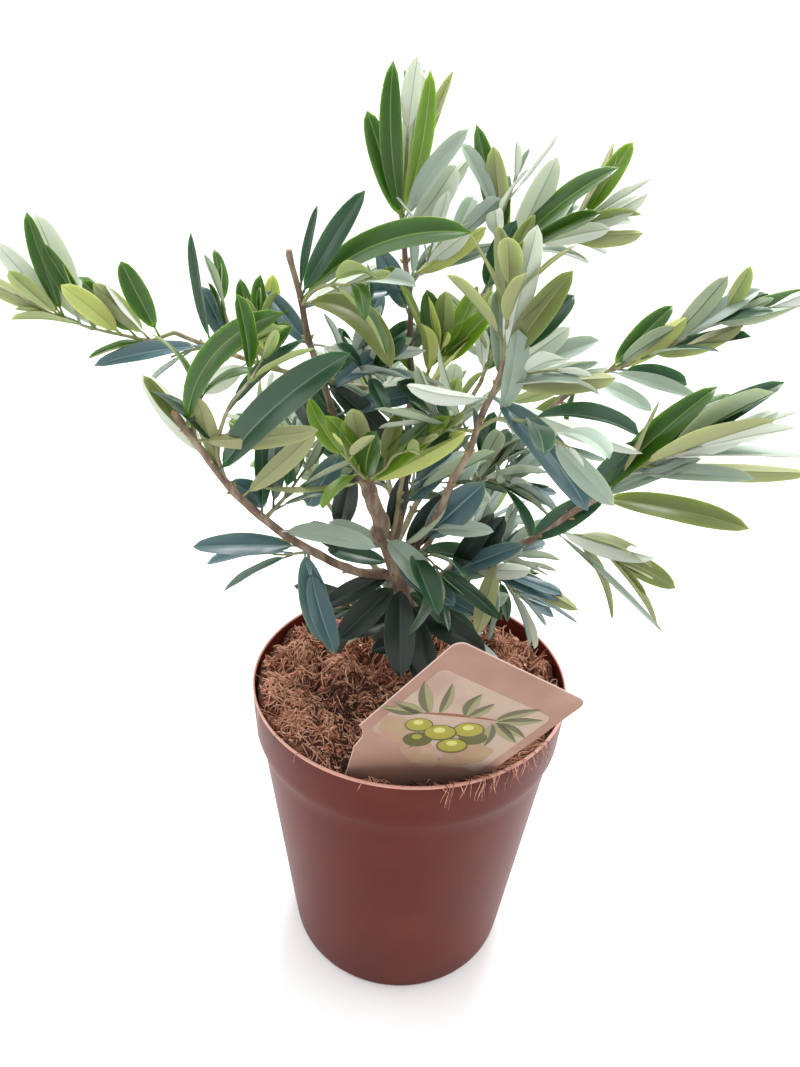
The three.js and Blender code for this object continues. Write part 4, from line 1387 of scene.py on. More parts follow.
SET_LEAVES = (
    (LEFT, "bough_left_low", (
        SetLeaf(0.93, -10, 54, 56, F, 9, 20, 32, sway=60),
        SetLeaf(0.89, -15, 14, 44, O, 8, 15, 40, under=True),
        SetLeaf(0.76, -122, 76, 28, O, 7, 15, 20, under=True),
        SetLeaf(0.76, -25, 45, 73, M, 13, 18, 38, sway=14),
        SetLeaf(0.82, 147, 38, 36, S, 9, 15, 45, under=True), SetLeaf(0.74, 60, -40, 26, BL, 9, 15, 40),
        SetLeaf(0.65, -10, 46, 38, O, 8, 25, 30, under=True), SetLeaf(0.37, -165, 4, 38, BL, 10, 8, 60),
        SetLeaf(0.37, -40, -72, 38, BL, 12, 12, 20), SetLeaf(0.47, -22, 5, 38, S, 9, 30, 60),
        SetLeaf(0.55, 100, 60, 30, M, 8, 15, 40, roll=40),
    )),
    (LEFT, "bough_left_mid", (
        SetLeaf(0.33, 180, -60, 28, BL, 11, 14, 20),
    )),
    (LEFT, "left_tip", (
        SetLeaf(0.12, 175, 66, 26, F, 9, 10, 30), SetLeaf(0.2, -165, 50, 24, O, 8, 12, 30, under=True),
        SetLeaf(0.3, 170, 45, 24, F, 8, 12, 35), SetLeaf(0.5, 172, 40, 32, S, 10, 14, 35, under=True),
        SetLeaf(0.62, -170, 65, 30, F, 7, 12, 25), SetLeaf(0.74, 165, 72, 36, S, 11, 12, 20, under=True),
        SetLeaf(0.86, 178, 78, 34, F, 7, 14, 20), SetLeaf(0.9, -175, 55, 28, S, 8, 14, 30, under=True),
        SetLeaf(0.92, -170, 30, 28, O, 7, 10, 40, under=True),
    )),
    (LEFT, "bough_left_long", (
        SetLeaf(0.84, -160, 84, 38, M, 6, 10, 10, roll=-35), SetLeaf(0.74, 150, 58, 24, BL, 8, 20, 40),
        SetLeaf(0.86, -160, -8, 38, BL, 9, 18, 60), SetLeaf(0.64, 175, 80, 28, F, 7, 12, 20),
        SetLeaf(0.63, 25, 80, 30, B, 8, 12, 25, under=True), SetLeaf(0.62, -25, 62, 22, F, 6, 12, 30),
        SetLeaf(0.67, -145, -20, 20, S, 9, 10, 30, under=True), SetLeaf(0.5, -60, -35, 24, D, 8, 10, 40),
        SetLeaf(0.44, -30, -45, 26, M, 8, 10, 40),
    )),
    (MIDDLE, "bough_leader", (
        SetLeaf(0.97, -125, 54, 36, B, 9, 14, 30, sway=-20),
        SetLeaf(0.99, -100, 58, 38, O, 9, 10, 25, under=True),
        SetLeaf(0.94, -78, 54, 32, F, 10, 14, 40, sway=15),
        SetLeaf(0.95, -165, 0, 36, O, 7, 14, 75, under=True, roll=30),
        SetLeaf(0.92, -32, 50, 36, F, 8, 10, 30), SetLeaf(0.92, -28, 46, 44, B, 9, 20, 40),
        SetLeaf(0.9, -27, 38, 45, B, 8, 18, 35, under=True),
    )),
    (MIDDLE, "bough_left_mid", (
        SetLeaf(0.26, 160, -78, 27, D, 10, 10, 20),
    )),
    (MIDDLE, "bough_mid", (
        SetLeaf(0.28, -160, -80, 25, D, 8, 10, 20),
    )),
    (MIDDLE, "bough_right_up", (
        SetLeaf(0.18, -15, 52, 34, BL, 13, 14, 30), SetLeaf(0.25, -25, 14, 24, S, 7, 14, 50),
        SetLeaf(0.06, 0, 64, 28, D, 10, 10, 20),
    )),
    (MIDDLE, "bough_right_low", (
        SetLeaf(0.28, -20, 62, 28, D, 10, 14, 25), SetLeaf(0.12, -10, 20, 28, S, 8, 16, 45),
        SetLeaf(0.3, -35, 20, 26, S, 7, 18, 45, under=True),
    )),
    (MIDDLE, "bough_top", (
        SetLeaf(0.14, 20, 48, 26, BL, 9, 14, 30),
    )),
    # Most of these leaves take the painted-shade tone, a dark cover where shade falls round the lower trunk.
    (MIDDLE, "trunk", (
        SetLeaf(0.88, 172, 20, 24, S, 8, 16, 45), SetLeaf(0.8, 165, 2, 26, M, 8, 16, 50),
        SetLeaf(0.97, -45, -22, 31, S, 11, 40, 60), SetLeaf(0.82, -45, -6, 32, BL, 11, 30, 55),
        SetLeaf(0.72, -32, -4, 35, BL, 9, 30, 60), SetLeaf(0.76, -158, -20, 30, D, 9, 14, 50),
        SetLeaf(0.7, -143, -32, 31, D, 12, 16, 40), SetLeaf(0.5, -153, -8, 24, D, 8, 18, 55),
        SetLeaf(0.34, -147, 5, 18, D, 8, 14, 50), SetLeaf(0.62, -60, -42, 34, D, 12, 16, 25),
        SetLeaf(0.7, -85, -40, 36, D, 13, 16, 25), SetLeaf(0.57, -28, -14, 36, D, 12, 20, 45),
        SetLeaf(0.48, -70, -45, 24, D, 9, 14, 30), SetLeaf(0.66, -15, -25, 34, M, 9, 30, 50),
    )),
    (MIDDLE, "bough_left_back", (
        SetLeaf(0.3, 178, 30, 26, D, 9, 14, 40),
    )),
    (TOP, "bough_left_mid", (
        SetLeaf(0.86, -10, 77, 27, M, 4, 8, 20, roll=-30), SetLeaf(0.85, -12, 58, 40, M, 8, 18, 35),
        SetLeaf(0.84, -14, 27, 64, F, 12, 28, 48, sway=42),
        SetLeaf(0.83, -32, -16, 42, O, 10, 40, 42, sway=70),
        SetLeaf(0.83, 22, 24, 28, S, 8, 14, 35, under=True), SetLeaf(0.82, 22, 8, 34, BL, 8, 16, 50),
        SetLeaf(0.7, 0, 0, 38, S, 7, 18, 50, under=True), SetLeaf(0.67, 150, 40, 25, BL, 8, 14, 45),
        SetLeaf(0.53, -12, 34, 34, BL, 9, 24, 50), SetLeaf(0.44, -20, 22, 40, BL, 9, 24, 50),
        SetLeaf(0.58, -20, -33, 34, D, 9, 14, 40),
    )),
    (TOP, "bough_top", (
        SetLeaf(0.98, 180, 84, 48, F, 8, 14, 30, sway=20),
        SetLeaf(1.0, 60, 80, 44, S, 9, 12, 20, under=True),
        SetLeaf(1.0, -40, 78, 44, B, 7, 16, 20, sway=-20), SetLeaf(0.97, 165, 68, 36, F, 9, 12, 30),
        SetLeaf(1.0, 25, 70, 46, O, 6, 24, 30, under=True, roll=40),
        SetLeaf(0.98, -24, 54, 36, S, 9, 22, 50), SetLeaf(0.96, 20, 46, 30, S, 7, 14, 50, under=True),
        SetLeaf(0.94, -25, 54, 28, S, 11, 18, 40, under=True),
        SetLeaf(0.83, -10, 36, 30, B, 8, 18, 50, under=True), SetLeaf(0.83, 8, 18, 34, S, 8, 14, 60),
        SetLeaf(0.72, -150, 60, 25, BL, 9, 10, 40),
    )),
    (TOP, "bough_mid", (
        SetLeaf(0.6, -30, 52, 28, B, 9, 14, 40), SetLeaf(0.6, -150, 75, 27, F, 9, 10, 30),
        SetLeaf(0.61, -95, 72, 27, F, 8, 10, 30, under=True), SetLeaf(0.98, 180, 72, 45, F, 8, 14, 30),
        SetLeaf(0.98, -140, 74, 38, O, 9, 10, 30, under=True),
        SetLeaf(0.97, -20, 68, 38, S, 10, 22, 35, under=True), SetLeaf(0.98, -14, 44, 48, F, 12, 34, 65),
        SetLeaf(0.86, -60, 60, 30, M, 9, 20, 40),
    )),
    (RIGHT, "bough_right_up", (
        SetLeaf(0.87, -13, -14, 50, S, 6, 14, 45, under=True), SetLeaf(0.87, -35, -36, 48, BL, 12, 45, 55),
        SetLeaf(0.86, -155, 14, 28, S, 7, 30, 50, under=True),
        SetLeaf(0.94, 0, 40, 24, S, 8, 14, 40, under=True),
        SetLeaf(0.94, -18, 14, 32, S, 11, 16, 50, under=True),
        SetLeaf(0.93, -26, 12, 36, O, 9, 14, 50, under=True), SetLeaf(1.0, 15, 44, 26, M, 10, 14, 50),
        SetLeaf(1.0, -48, 80, 40, S, 9, 10, 25, under=True), SetLeaf(0.98, -20, 60, 34, O, 9, 14, 40),
    )),
    (RIGHT, "bough_right_low", (
        SetLeaf(0.88, -20, 62, 30, M, 9, 14, 40), SetLeaf(0.98, -4, 53, 50, F, 10, 26, 60),
        SetLeaf(0.95, -18, 34, 36, S, 7, 14, 60), SetLeaf(0.97, -20, 0, 48, O, 10, 24, 50),
        SetLeaf(0.74, -22, -4, 34, S, 9, 16, 60, under=True), SetLeaf(0.73, -20, -35, 54, S, 3, 14, 60),
        SetLeaf(0.46, -110, -50, 28, O, 8, 24, 40, under=True),
        SetLeaf(0.45, -23, -22, 34, O, 7, 24, 50, under=True), SetLeaf(0.34, -19, -10, 34, BL, 8, 24, 50),
        SetLeaf(0.22, -40, 62, 36, D, 8, 14, 30), SetLeaf(0.2, -30, 38, 38, BL, 8, 18, 40),
        SetLeaf(0.6, -25, 45, 34, M, 10, 20, 45),
    )),
    (RIGHT, "right_tip", (
        SetLeaf(0.3, 12, 36, 42, S, 9, 18, 60), SetLeaf(0.55, -8, 42, 42, M, 9, 22, 60),
        SetLeaf(0.58, -24, 36, 36, S, 9, 18, 55, under=True),
        SetLeaf(0.42, -12, 6, 50, O, 7, 10, 50, under=True), SetLeaf(0.3, -22, 10, 36, S, 7, 14, 55),
    )),
    (RIGHT, "crown_right", (
        SetLeaf(0.1, -25, 30, 30, F, 9, 16, 55), SetLeaf(0.12, 20, 40, 22, S, 8, 14, 50),
        SetLeaf(0.5, -15, 30, 32, S, 9, 18, 55, under=True),
        SetLeaf(0.55, -30, 8, 28, O, 9, 16, 50, under=True), SetLeaf(0.8, 5, 62, 28, B, 8, 14, 40),
    )),
    (RIGHT, "far_right", (
        SetLeaf(0.1, -10, 42, 34, B, 10, 18, 55, under=True), SetLeaf(0.12, 15, 48, 32, F, 9, 14, 50),
        SetLeaf(0.4, -12, 26, 34, O, 9, 22, 55, under=True), SetLeaf(0.62, -5, 40, 32, S, 9, 20, 60),
        SetLeaf(0.9, -8, 20, 38, F, 10, 16, 60), SetLeaf(0.85, -15, 28, 36, S, 9, 18, 60, under=True),
        SetLeaf(0.12, -30, -5, 34, S, 8, 10, 60),
    )),
    (RIGHT, "bough_right_back", (
        SetLeaf(0.98, -40, -10, 28, S, 9, 16, 60),
    )),
)


# ---------- pot
@dataclass
class Pot:
    """The thin plastic pot, turned from its profile, with its lip and drainage holes."""

    segments: int = 144
    lip_height: float = 23 * MM
    lip_taper: float = 1.2 * MM
    lip_step: float = 1.8 * MM
    wall: float = 1.2 * MM
    floor: float = 1.8 * MM
    holes: int = 6
    hole_radius: float = 4.5 * MM
    hole_ring: float = 36 * MM
    base_radius: float = 53 * MM
    edge_round: float = 0.45 * MM
    foot_ring: float = 5 * MM
    foot_round: float = 1.6 * MM
    recess: float = 1.2 * MM

    def profile(self, height: float, rim: float) -> list[tuple[float, float, int]]:
        """Gives the outline from the middle of the underside round to the middle of the floor.

        Args:
            height: the pot's height.
            rim: its radius at the rim.

        Returns:
            Radius, height and finish slot of each point.
        """
        lip_foot = height - self.lip_height
        lip_low = rim - self.lip_taper
        wall_top = lip_low - self.lip_step
        e = self.edge_round
        body = PotSlot.PLASTIC

        def wall_at(z: float) -> float:
            """Gives the wall's outer radius at a height."""
            return self.base_radius + (wall_top - self.base_radius) * z / lip_foot

        outline = [
            (0.0, self.recess, body), (self.base_radius - self.foot_ring - MM, self.recess, body),
            (self.base_radius - self.foot_ring, 0.0, body),
        ]
        r = self.foot_round
        for k in range(5):
            turn = math.radians(-90 + 22.5 * k)
            outline.append((self.base_radius - r + r * math.cos(turn), r + r * math.sin(turn), body))
        outline += [(wall_at(lip_foot * k / 12), lip_foot * k / 12, body) for k in range(1, 12)]
        outline += [
            (wall_at(lip_foot) - 0.1 * MM, lip_foot - 2 * e, body),
            (wall_at(lip_foot) + 0.2 * MM, lip_foot - 0.6 * e, body),
            (lip_low - e, lip_foot - 0.2 * e, body), (lip_low - 0.3 * e, lip_foot + 0.3 * e, body),
            (lip_low, lip_foot + 1.4 * e, body),
        ]
        outline += [(lip_low + self.lip_taper * k / 5, lip_foot + (self.lip_height - 2 * e) * k / 5, body)
                    for k in range(1, 5)]
        outline.append((rim - 0.02 * MM, height - 1.1 * MM, body))
        # The rounded top of the rim takes the pale painted highlight.
        for k in range(6):
            turn = math.radians(-10 + 40 * k)
            outline.append((
                rim - self.wall / 2 + self.wall / 2 * math.cos(turn),
                height - self.wall / 2 + self.wall / 2 * math.sin(turn), PotSlot.RIM_EDGE,
            ))
        outline += [
            (rim - self.wall - 0.1 * MM, height - 4 * MM, body),
            (lip_low - self.wall, lip_foot + 3 * MM, body), (wall_at(lip_foot) - self.wall, lip_foot, body),
            (wall_at(60 * MM) - self.wall, 60 * MM, body), (wall_at(6 * MM) - self.wall, 6 * MM, body),
            (wall_at(4 * MM) - 2.4 * MM, self.floor + 0.3 * MM, body),
            (wall_at(4 * MM) - 4 * MM, self.floor, body),
            (0.0, self.floor, body),
        ]
        return outline

    def build(self) -> None:
        """Turns the profile, cuts the holes and dresses the pot."""
        low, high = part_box("pot")
        height, rim = high[2] - low[2], (high[0] - low[0]) / 2
        maker = MeshMaker("pot_shell", (TERRACOTTA, RIM_EDGE))
        outline = self.profile(height, rim)
        rings = []
        for radius, z, _slot in outline[1:-1]:
            rings.append([
                maker.point(self.place(radius, z, 2 * math.pi * i / self.segments, rim))
                for i in range(self.segments)
            ])
        for k, (lower, upper) in enumerate(zip(rings, rings[1:])):
            maker.skin([lower, upper], outline[k + 2][2])
        maker.fan(rings[0], maker.point(Vector((0, 0, outline[0][1]))), flip=True)
        maker.fan(rings[-1], maker.point(Vector((0, 0, self.floor))))
        pot = maker.make(["pot"], "pot_plastic")
        self.drill(pot)
        self.smooth_by_angle(pot)

    def place(self, radius: float, z: float, turn: float, rim: float) -> Vector:
        """Gives a point of the shell, with the slight wander of thin plastic.

        Args:
            radius: the point's plain radius.
            z: its height.
            turn: its turn round the pot in radians.
            rim: the pot's radius at the rim, which nothing passes.

        Returns:
            The point.
        """
        wander = 0.35 * MM * math.sin(2 * turn + 0.7)
        wander *= smoothstep(0.4, 1.0, radius / rim) * smoothstep(0, 0.1, z)
        r = min(radius + wander, rim) if radius > 2 * MM else radius
        return polar(r, turn, z)

    def drill(self, pot: bpy.types.Object) -> None:
        """Cuts the drainage holes through the floor.

        Args:
            pot: the pot's object.
        """
        cutter_mesh = MeshMaker("pot_hole_cutter", (TERRACOTTA,))
        for i in range(self.holes):
            turn = 2 * math.pi * (i + 0.5) / self.holes
            middle = polar(self.hole_ring, turn)
            sweep(
                cutter_mesh, Path([middle - UP * 4 * MM, middle, middle + UP * 4 * MM]), 24,
                lambda _s, _a: self.hole_radius, dome=0.0,
            )
        mesh = bpy.data.meshes.new("pot_hole_cutter")
        mesh.from_pydata([tuple(p) for p in cutter_mesh.points], [], cutter_mesh.faces)
        cutter = put("pot_hole_cutter", mesh)
        cut = pot.modifiers.new("holes", "BOOLEAN")
        cut.object = cutter
        cut.solver = "EXACT"
        cut.operation = "DIFFERENCE"
        depsgraph = bpy.context.evaluated_depsgraph_get()
        drilled = bpy.data.meshes.new_from_object(pot.evaluated_get(depsgraph))
        pot.modifiers.clear()
        pot.data = drilled
        bpy.data.objects.remove(cutter)

    def smooth_by_angle(self, pot: bpy.types.Object) -> None:
        """Keeps the sharp edges of the holes and shades the rest smooth."""
        pot.data.polygons.foreach_set("use_smooth", [True] * len(pot.data.polygons))
        pot.data.set_sharp_from_angle(angle=math.radians(38))


# ---------- coir
@dataclass
class CoirFill:
    """The coir in the pot: a rough bed, crumbs of husk and tangled tufts of loose fibre."""

    level: float = 140.5 * MM
    radius: float = 67.9 * MM
    rings: int = 90
    spokes: int = 240
    crumbs: int = 900
    tufts: int = 620
    tuft_fibres: int = 12
    tuft_spread: float = 2.6 * MM
    roughness: float = 6.2 * MM
    bank: float = 3.0 * MM
    dip: float = 7.5 * MM
    shoulder_level: float = 129 * MM
    foot_level: float = 120 * MM
    foot_radius: float = 64 * MM
    pot_rim: float = 70 * MM
    pot_top: float = 148 * MM
    front_spill: int = 46
    round_spill: int = 16
    rng: random.Random = field(default_factory=lambda: random.Random("coir"))

    def height(self, x: float, y: float) -> float:
        """Gives the height of the bed, which is lumpy and banked up to the rim.

        Args:
            x: the place across.
            y: the place away from the front.

        Returns:
            The height.
        """
        broad, clods, lumps, grit = (
            noise.noise(Vector((x * scale, y * scale, layer)))
            for scale, layer in ((42, 1.7), (72, 3.3), (150, 5.1), (520, 9.4))
        )
        clods = 2.2 * abs(clods) - 0.5
        bank = self.bank * smoothstep(0.55, 0.95, math.hypot(x, y) / self.radius)
        front = smoothstep(0.45, 0.75, -y / self.radius)
        front *= 1 - smoothstep(0.3, 0.6, abs(x - 4 * MM) / self.radius)
        low = self.level + bank - 1.2 * MM - self.dip * front
        return low + self.roughness * (0.3 * broad + 0.85 * clods + 0.45 * lumps + 0.15 * grit)

    def build(self) -> None:
        """Makes the bed, the crumbs and the fibres."""
        self.build_bed()
        tones = ((COIR_TAN_AND_TOP_HIGHLIGHT, 0.46), (COIR_RUST, 0.38), (COIR_DARK_AND_HOLLOW_SHADE, 0.16))
        crumbs = MeshMaker("coir_crumbs", [finish for finish, _share in tones])
        for _ in range(self.crumbs):
            self.add_crumb(crumbs, self.pick(tones))
        crumbs.make([], "coir", smooth=False)
        fibres = MeshMaker("coir_fibres", [finish for finish, _share in tones])
        for _ in range(self.tufts):
            self.add_tuft(fibres, tones)
        self.add_overhang(fibres)
        fibres.make([], "coir")

    def pick(self, tones: Mix) -> int:
        """Picks a slot by its share.

        Args:
            tones: finishes and their shares, in the order of the slots.

        Returns:
            The slot.
        """
        draw, total = self.rng.random(), 0.0
        for slot, (_finish, share) in enumerate(tones):
            total += share
            if draw < total:
                return slot
        return 0

    def build_bed(self) -> None:
        """Makes the closed bed of coir, from its rough top down into the pot."""
        maker = MeshMaker("coir_bed", (COIR_BED_AND_GAP_SHADE,))
        turns = [2 * math.pi * i / self.spokes for i in range(self.spokes)]
        sides = ((self.foot_radius, self.foot_level), (self.radius - 1.2 * MM, self.shoulder_level))
        rings = [
            [maker.point(polar(r, a, z)) for a in turns]
            for r, z in sides
        ]
        for k in range(self.rings, 0, -1):
            r = self.radius * k / self.rings
            rings.append([maker.point(self.on_bed(*polar(r, a).xy)) for a in turns])
        maker.skin(rings)
        maker.fan(rings[-1], maker.point(self.on_bed(0.0, 0.0)))
        maker.fan(rings[0], maker.point(Vector((0, 0, self.foot_level))), flip=True)
        maker.make(["soil"], "coir")

    def on_bed(self, x: float, y: float) -> Vector:
        """Gives the point of the bed's surface at a place."""
        return Vector((x, y, self.height(x, y)))

    def scatter(self) -> tuple[float, float]:
        """Picks an even random place on the bed."""
        r = (self.radius - 1.5 * MM) * math.sqrt(self.rng.random())
        a = self.rng.random() * 2 * math.pi
        return r * math.cos(a), r * math.sin(a)

    def add_crumb(self, maker: MeshMaker, slot: int) -> None:
        """Adds one angular crumb of husk, half sunk in the bed.

        Args:
            maker: gathers the faces.
            slot: the crumb's finish.
        """
        rng = self.rng
        x, y = self.scatter()
        size = rng.choice((0.5, 0.6, 0.8, 1.1, 1.5)) * MM
        middle = Vector((x, y, self.height(x, y) + 0.2 * size))
        turn = Matrix.Rotation(rng.random() * 6.28, 3, "Z") @ Matrix.Rotation(rng.uniform(-0.6, 0.6), 3, "X")
        half = size * Vector((rng.uniform(0.9, 2.2), rng.uniform(0.4, 0.8), rng.uniform(0.3, 0.5)))
        signs = [(x, y, z) for z in (-1, 1) for x, y in ((-1, -1), (1, -1), (1, 1), (-1, 1))]
        corners = [
            maker.point(middle + turn @ Vector([s * h * rng.uniform(0.6, 1) for s, h in zip(sign, half)]))
            for sign in signs
        ]
        for quad in ((0, 3, 2, 1), (4, 5, 6, 7), (0, 1, 5, 4), (1, 2, 6, 5), (2, 3, 7, 6), (3, 0, 4, 7)):
            maker.face([corners[q] for q in quad], slot)

    def add_tuft(self, maker: MeshMaker, tones: Mix) -> None:
        """Adds a tangled tuft of fibres that lie roughly the same way, dark in hollows as painted shade and
        tan on tops as painted highlight.

        Args:
            maker: gathers the faces.
            tones: finishes and their shares, in the order of the slots.
        """
        rng = self.rng
        x, y = self.scatter()
        heading = rng.random() * 2 * math.pi
        # Painted shade and highlight: a tuft low in the bed mostly takes the dark tone, a high one the tan
        # tone.
        high = (self.height(x, y) - self.level) / self.roughness
        if high < rng.uniform(-0.6, -0.3):
            slot = CoirSlot.DARK
        elif high > rng.uniform(0.0, 0.5):
            slot = CoirSlot.TAN
        else:
            slot = self.pick(tones)
        heap = rng.uniform(0.2, 1.0) ** 2 * 3.2 * MM
        for _ in range(rng.randint(self.tuft_fibres - 7, self.tuft_fibres + 7)):
            tone = slot if rng.random() < 0.7 else self.pick(tones)
            self.add_fibre(
                maker, tone, x + rng.gauss(0, self.tuft_spread), y + rng.gauss(0, self.tuft_spread),
                heading + rng.gauss(0, 0.5), heap * rng.random(),
            )

    def add_fibre(
        self, maker: MeshMaker, slot: int, x: float, y: float, heading: float, lift: float,
    ) -> None:
        """Adds one curved fibre that lies over the bed.

        Args:
            maker: gathers the faces.
            slot: the fibre's finish.
            x: where it starts, across.
            y: where it starts, away from the front.
            heading: its first direction in radians.
            lift: how far its middle arches over the bed.
        """
        rng = self.rng
        reach, steps = rng.uniform(3, 13) * MM, 5
        bend = rng.gauss(0, 1.7)
        tilt = rng.random() ** 5 * 5 * MM
        points = []
        for k in range(steps + 1):
            if math.hypot(x, y) > self.radius - 0.8 * MM:
                break
            share = k / steps
            rise = 0.2 * MM + lift * math.sin(math.pi * (0.15 + 0.7 * share)) + tilt * share ** 1.5
            points.append(Vector((x, y, self.height(x, y) + rise)))
            x += reach / steps * math.cos(heading)
            y += reach / steps * math.sin(heading)
            heading += bend / steps
        if len(points) > 2:
            self.thread(maker, points, rng.uniform(0.12, 0.38) * MM, slot)

    def add_overhang(self, maker: MeshMaker) -> None:
        """Adds the fibres that spill over the rim, most of them at the front right.

        Args:
            maker: gathers the faces.
        """
        for _ in range(self.front_spill):
            self.spill(maker, self.rng.uniform(-76, -34), self.rng.uniform(3, 11) * MM)
        for _ in range(self.round_spill):
            self.spill(maker, self.rng.uniform(0, 360), self.rng.uniform(2, 6) * MM)
        self.spill(maker, 207.0, 34 * MM)

    def spill(self, maker: MeshMaker, angle: float, drop: float) -> None:
        """Adds one fibre that crosses the rim and hangs down outside it.

        Args:
            maker: gathers the faces.
            angle: where it crosses the rim, in degrees.
            drop: how far it hangs below the rim.
        """
        rng, turn = self.rng, math.radians(angle)
        drift = rng.uniform(-0.09, 0.09)
        stations = (
            (-9 * MM, -6 * MM), (-4 * MM, -2.2 * MM), (-0.9 * MM, 0.5 * MM), (0.4 * MM, 0.5 * MM),
            (1.0 * MM, -0.3 * drop), (0.8 * MM, -0.7 * drop), (rng.uniform(0.6, 2.2) * MM, -drop),
        )
        points = []
        for k, (out, down) in enumerate(stations):
            a = turn + drift * k / 6
            points.append(polar(self.pot_rim + out, a, self.pot_top + down))
        self.thread(maker, points, rng.uniform(0.09, 0.17) * MM, rng.choice((0, 0, 1, 2)))

    @staticmethod
    def thread(maker: MeshMaker, points: Sequence[Vector], thick: float, slot: int) -> None:
        """Adds a three-sided thread along a few points.

        Args:
            maker: gathers the faces.
            points: the places that it runs through.
            thick: its radius.
            slot: its finish.
        """
        rings = []
        for k, place in enumerate(points):
            along = (points[min(k + 1, len(points) - 1)] - points[max(k - 1, 0)]).normalized()
            across = square_to(along, UP)
            other = along.cross(across)
            size = thick * (1.0 if 0 < k < len(points) - 1 else 0.5)
            rings.append([
                maker.point(place + (across * math.cos(a) + other * math.sin(a)) * size)
                for a in (2 * math.pi * side / 3 for side in range(3))
            ])
        maker.skin(rings, slot)
        maker.face(rings[0][::-1], slot)
        maker.face(rings[-1], slot)


# ---------- card
@dataclass
class PlantCard:
    """The plant card: a bevelled outline with a panel and a plain drawing of an olive sprig."""

    turn: float = 34.0
    width: float = 61 * MM
    shoulder: float = 57 * MM
    length: float = 112 * MM
    corner: float = 4 * MM
    notch: float = 5 * MM
    notch_foot: float = 12 * MM
    knee: float = 28 * MM
    foot: float = 34 * MM
    point: float = 2 * MM
    thickness: float = 0.6 * MM
    bevel: float = 0.15 * MM
    ink: float = 0.06 * MM
    ink_root: float = -0.02 * MM
    origin: Vector = field(init=False)
    right: Vector = field(init=False)
    down: Vector = field(init=False)
    front: Vector = field(init=False)
    maker: MeshMaker = field(init=False)

    def read_axes(self) -> None:
        """Works out the card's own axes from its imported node."""
        mesh = frame["nodes"]["label_card"].data
        faces = sorted(mesh.polygons, key=lambda face: -face.area)
        normal = faces[0].normal.copy()
        self.front = normal if normal.y < 0 else -normal
        level = UP.cross(self.front).normalized()
        level = level if level.x > 0 else -level
        turns = (math.radians(self.turn), math.radians(-self.turn))
        turned = [Matrix.Rotation(turn, 3, self.front) @ level for turn in turns]
        self.right = min(turned, key=lambda axis: axis.z).normalized()
        self.down = self.front.cross(self.right).normalized()
        self.down = self.down if self.down.z < 0 else -self.down
        places = [v.co for v in mesh.vertices]
        left = min(p.dot(self.right) for p in places)
        top = min(p.dot(self.down) for p in places)
        face = max(p.dot(self.front) for p in places)
        self.origin = self.right * left + self.down * top + self.front * face

    def at(self, across: float, down: float, out: float = 0.0) -> Vector:
        """Gives the place of a point of the card's face."""
        return self.origin + self.right * across + self.down * down + self.front * out

    def outline(self, inset: float = 0.0) -> Outline:
        """Gives the card's outline, from the top left round by the right.

        Args:
            inset: how far inside the edge it runs.

        Returns:
            Points across and down.
        """
        w, c = self.width - inset, self.corner
        points = []
        for k in range(9):
            a = math.radians(180 - 11.25 * k)
            points.append((inset + c + c * math.cos(a), inset + c - c * math.sin(a)))
        for k in range(9):
            a = math.radians(90 - 11.25 * k)
            points.append((w - c + c * math.cos(a), inset + c - c * math.sin(a)))
        corner_points = len(points)
        mid = self.width / 2
        points += [
            (w, self.shoulder - inset * 0.3),
            (w - self.notch * 0.55, self.shoulder + self.notch * 0.35 - inset),
            (w - self.notch, self.shoulder + self.notch),
            (w - self.notch - 1 * MM, self.shoulder + self.notch_foot),
            (mid + self.foot / 2 - inset, self.shoulder + self.knee),
            (mid + self.point, self.length - 0.6 * MM - inset),
            (mid + self.point * 0.4, self.length - inset),
        ]
        mirrored = [(2 * mid - x, y) for x, y in points[corner_points:]]
        return points + mirrored[::-1]

    def build(self) -> None:
        """Makes the card and its drawing."""
        self.read_axes()
        self.maker = MeshMaker("plant_card", (
            CARD_STOCK, CARD_EDGE, CARD_PANEL, INK_TWIG, INK_LEAF_DARK, INK_LEAF_LIGHT,
            INK_OLIVE_DARK, INK_OLIVE, INK_OLIVE_LIGHT, INK_WASH,
        ))
        self.add_board()
        self.add_patch(self.panel(), CardSlot.PANEL, self.ink)
        self.add_sprig()
        self.maker.make(["label_card"], "card_stock", smooth=False)

    def add_board(self) -> None:
        """Adds the card itself, with a small bevel all round."""
        thick, bevel = self.thickness, self.bevel
        layers = ((bevel, 0.0), (0.0, -bevel), (0.0, bevel - thick), (bevel, -thick))
        rings = []
        for inset, out in layers:
            rings.append([self.maker.point(self.at(x, y, out)) for x, y in self.outline(inset)])
        self.maker.face(rings[0][::-1], CardSlot.STOCK)
        self.maker.skin(rings, CardSlot.EDGE)
        self.maker.face(rings[-1], CardSlot.STOCK)

    def panel(self) -> Outline:
        """Draws the pale panel that the sprig lies on.

        Returns:
            Points across and down.
        """
        edge, top, low, c = 4.5 * MM, 14 * MM, 57 * MM, 3 * MM
        points = []
        corners = (
            (edge + c, top + c, 180), (self.width - edge - c, top + c, 90),
            (self.width - edge - c, low - c, 0), (edge + c, low - c, -90),
        )
        for x, y, start in corners:
            for k in range(7):
                a = math.radians(start - 15 * k)
                points.append((x + c * math.cos(a), y - c * math.sin(a)))
        return points

    def add_patch(self, points: Outline, slot: int, out: float) -> None:
        """Adds one flat raised patch of ink, closed down to the card.

        Args:
            points: the patch's outline, across and down.
            slot: the finish of its ink.
            out: how far it stands out of the card.
        """
        maker = self.maker
        top = [maker.point(self.at(x, y, out)) for x, y in points]
        foot = [maker.point(self.at(x, y, self.ink_root)) for x, y in points]
        x = sum(across for across, _down in points) / len(points)
        y = sum(down for _across, down in points) / len(points)
        middle = maker.point(self.at(x, y, out))
        base = maker.point(self.at(x, y, self.ink_root))
        maker.fan(top[::-1], middle, slot)
        maker.skin([foot[::-1], top[::-1]], slot)
        maker.fan(foot, base, slot)

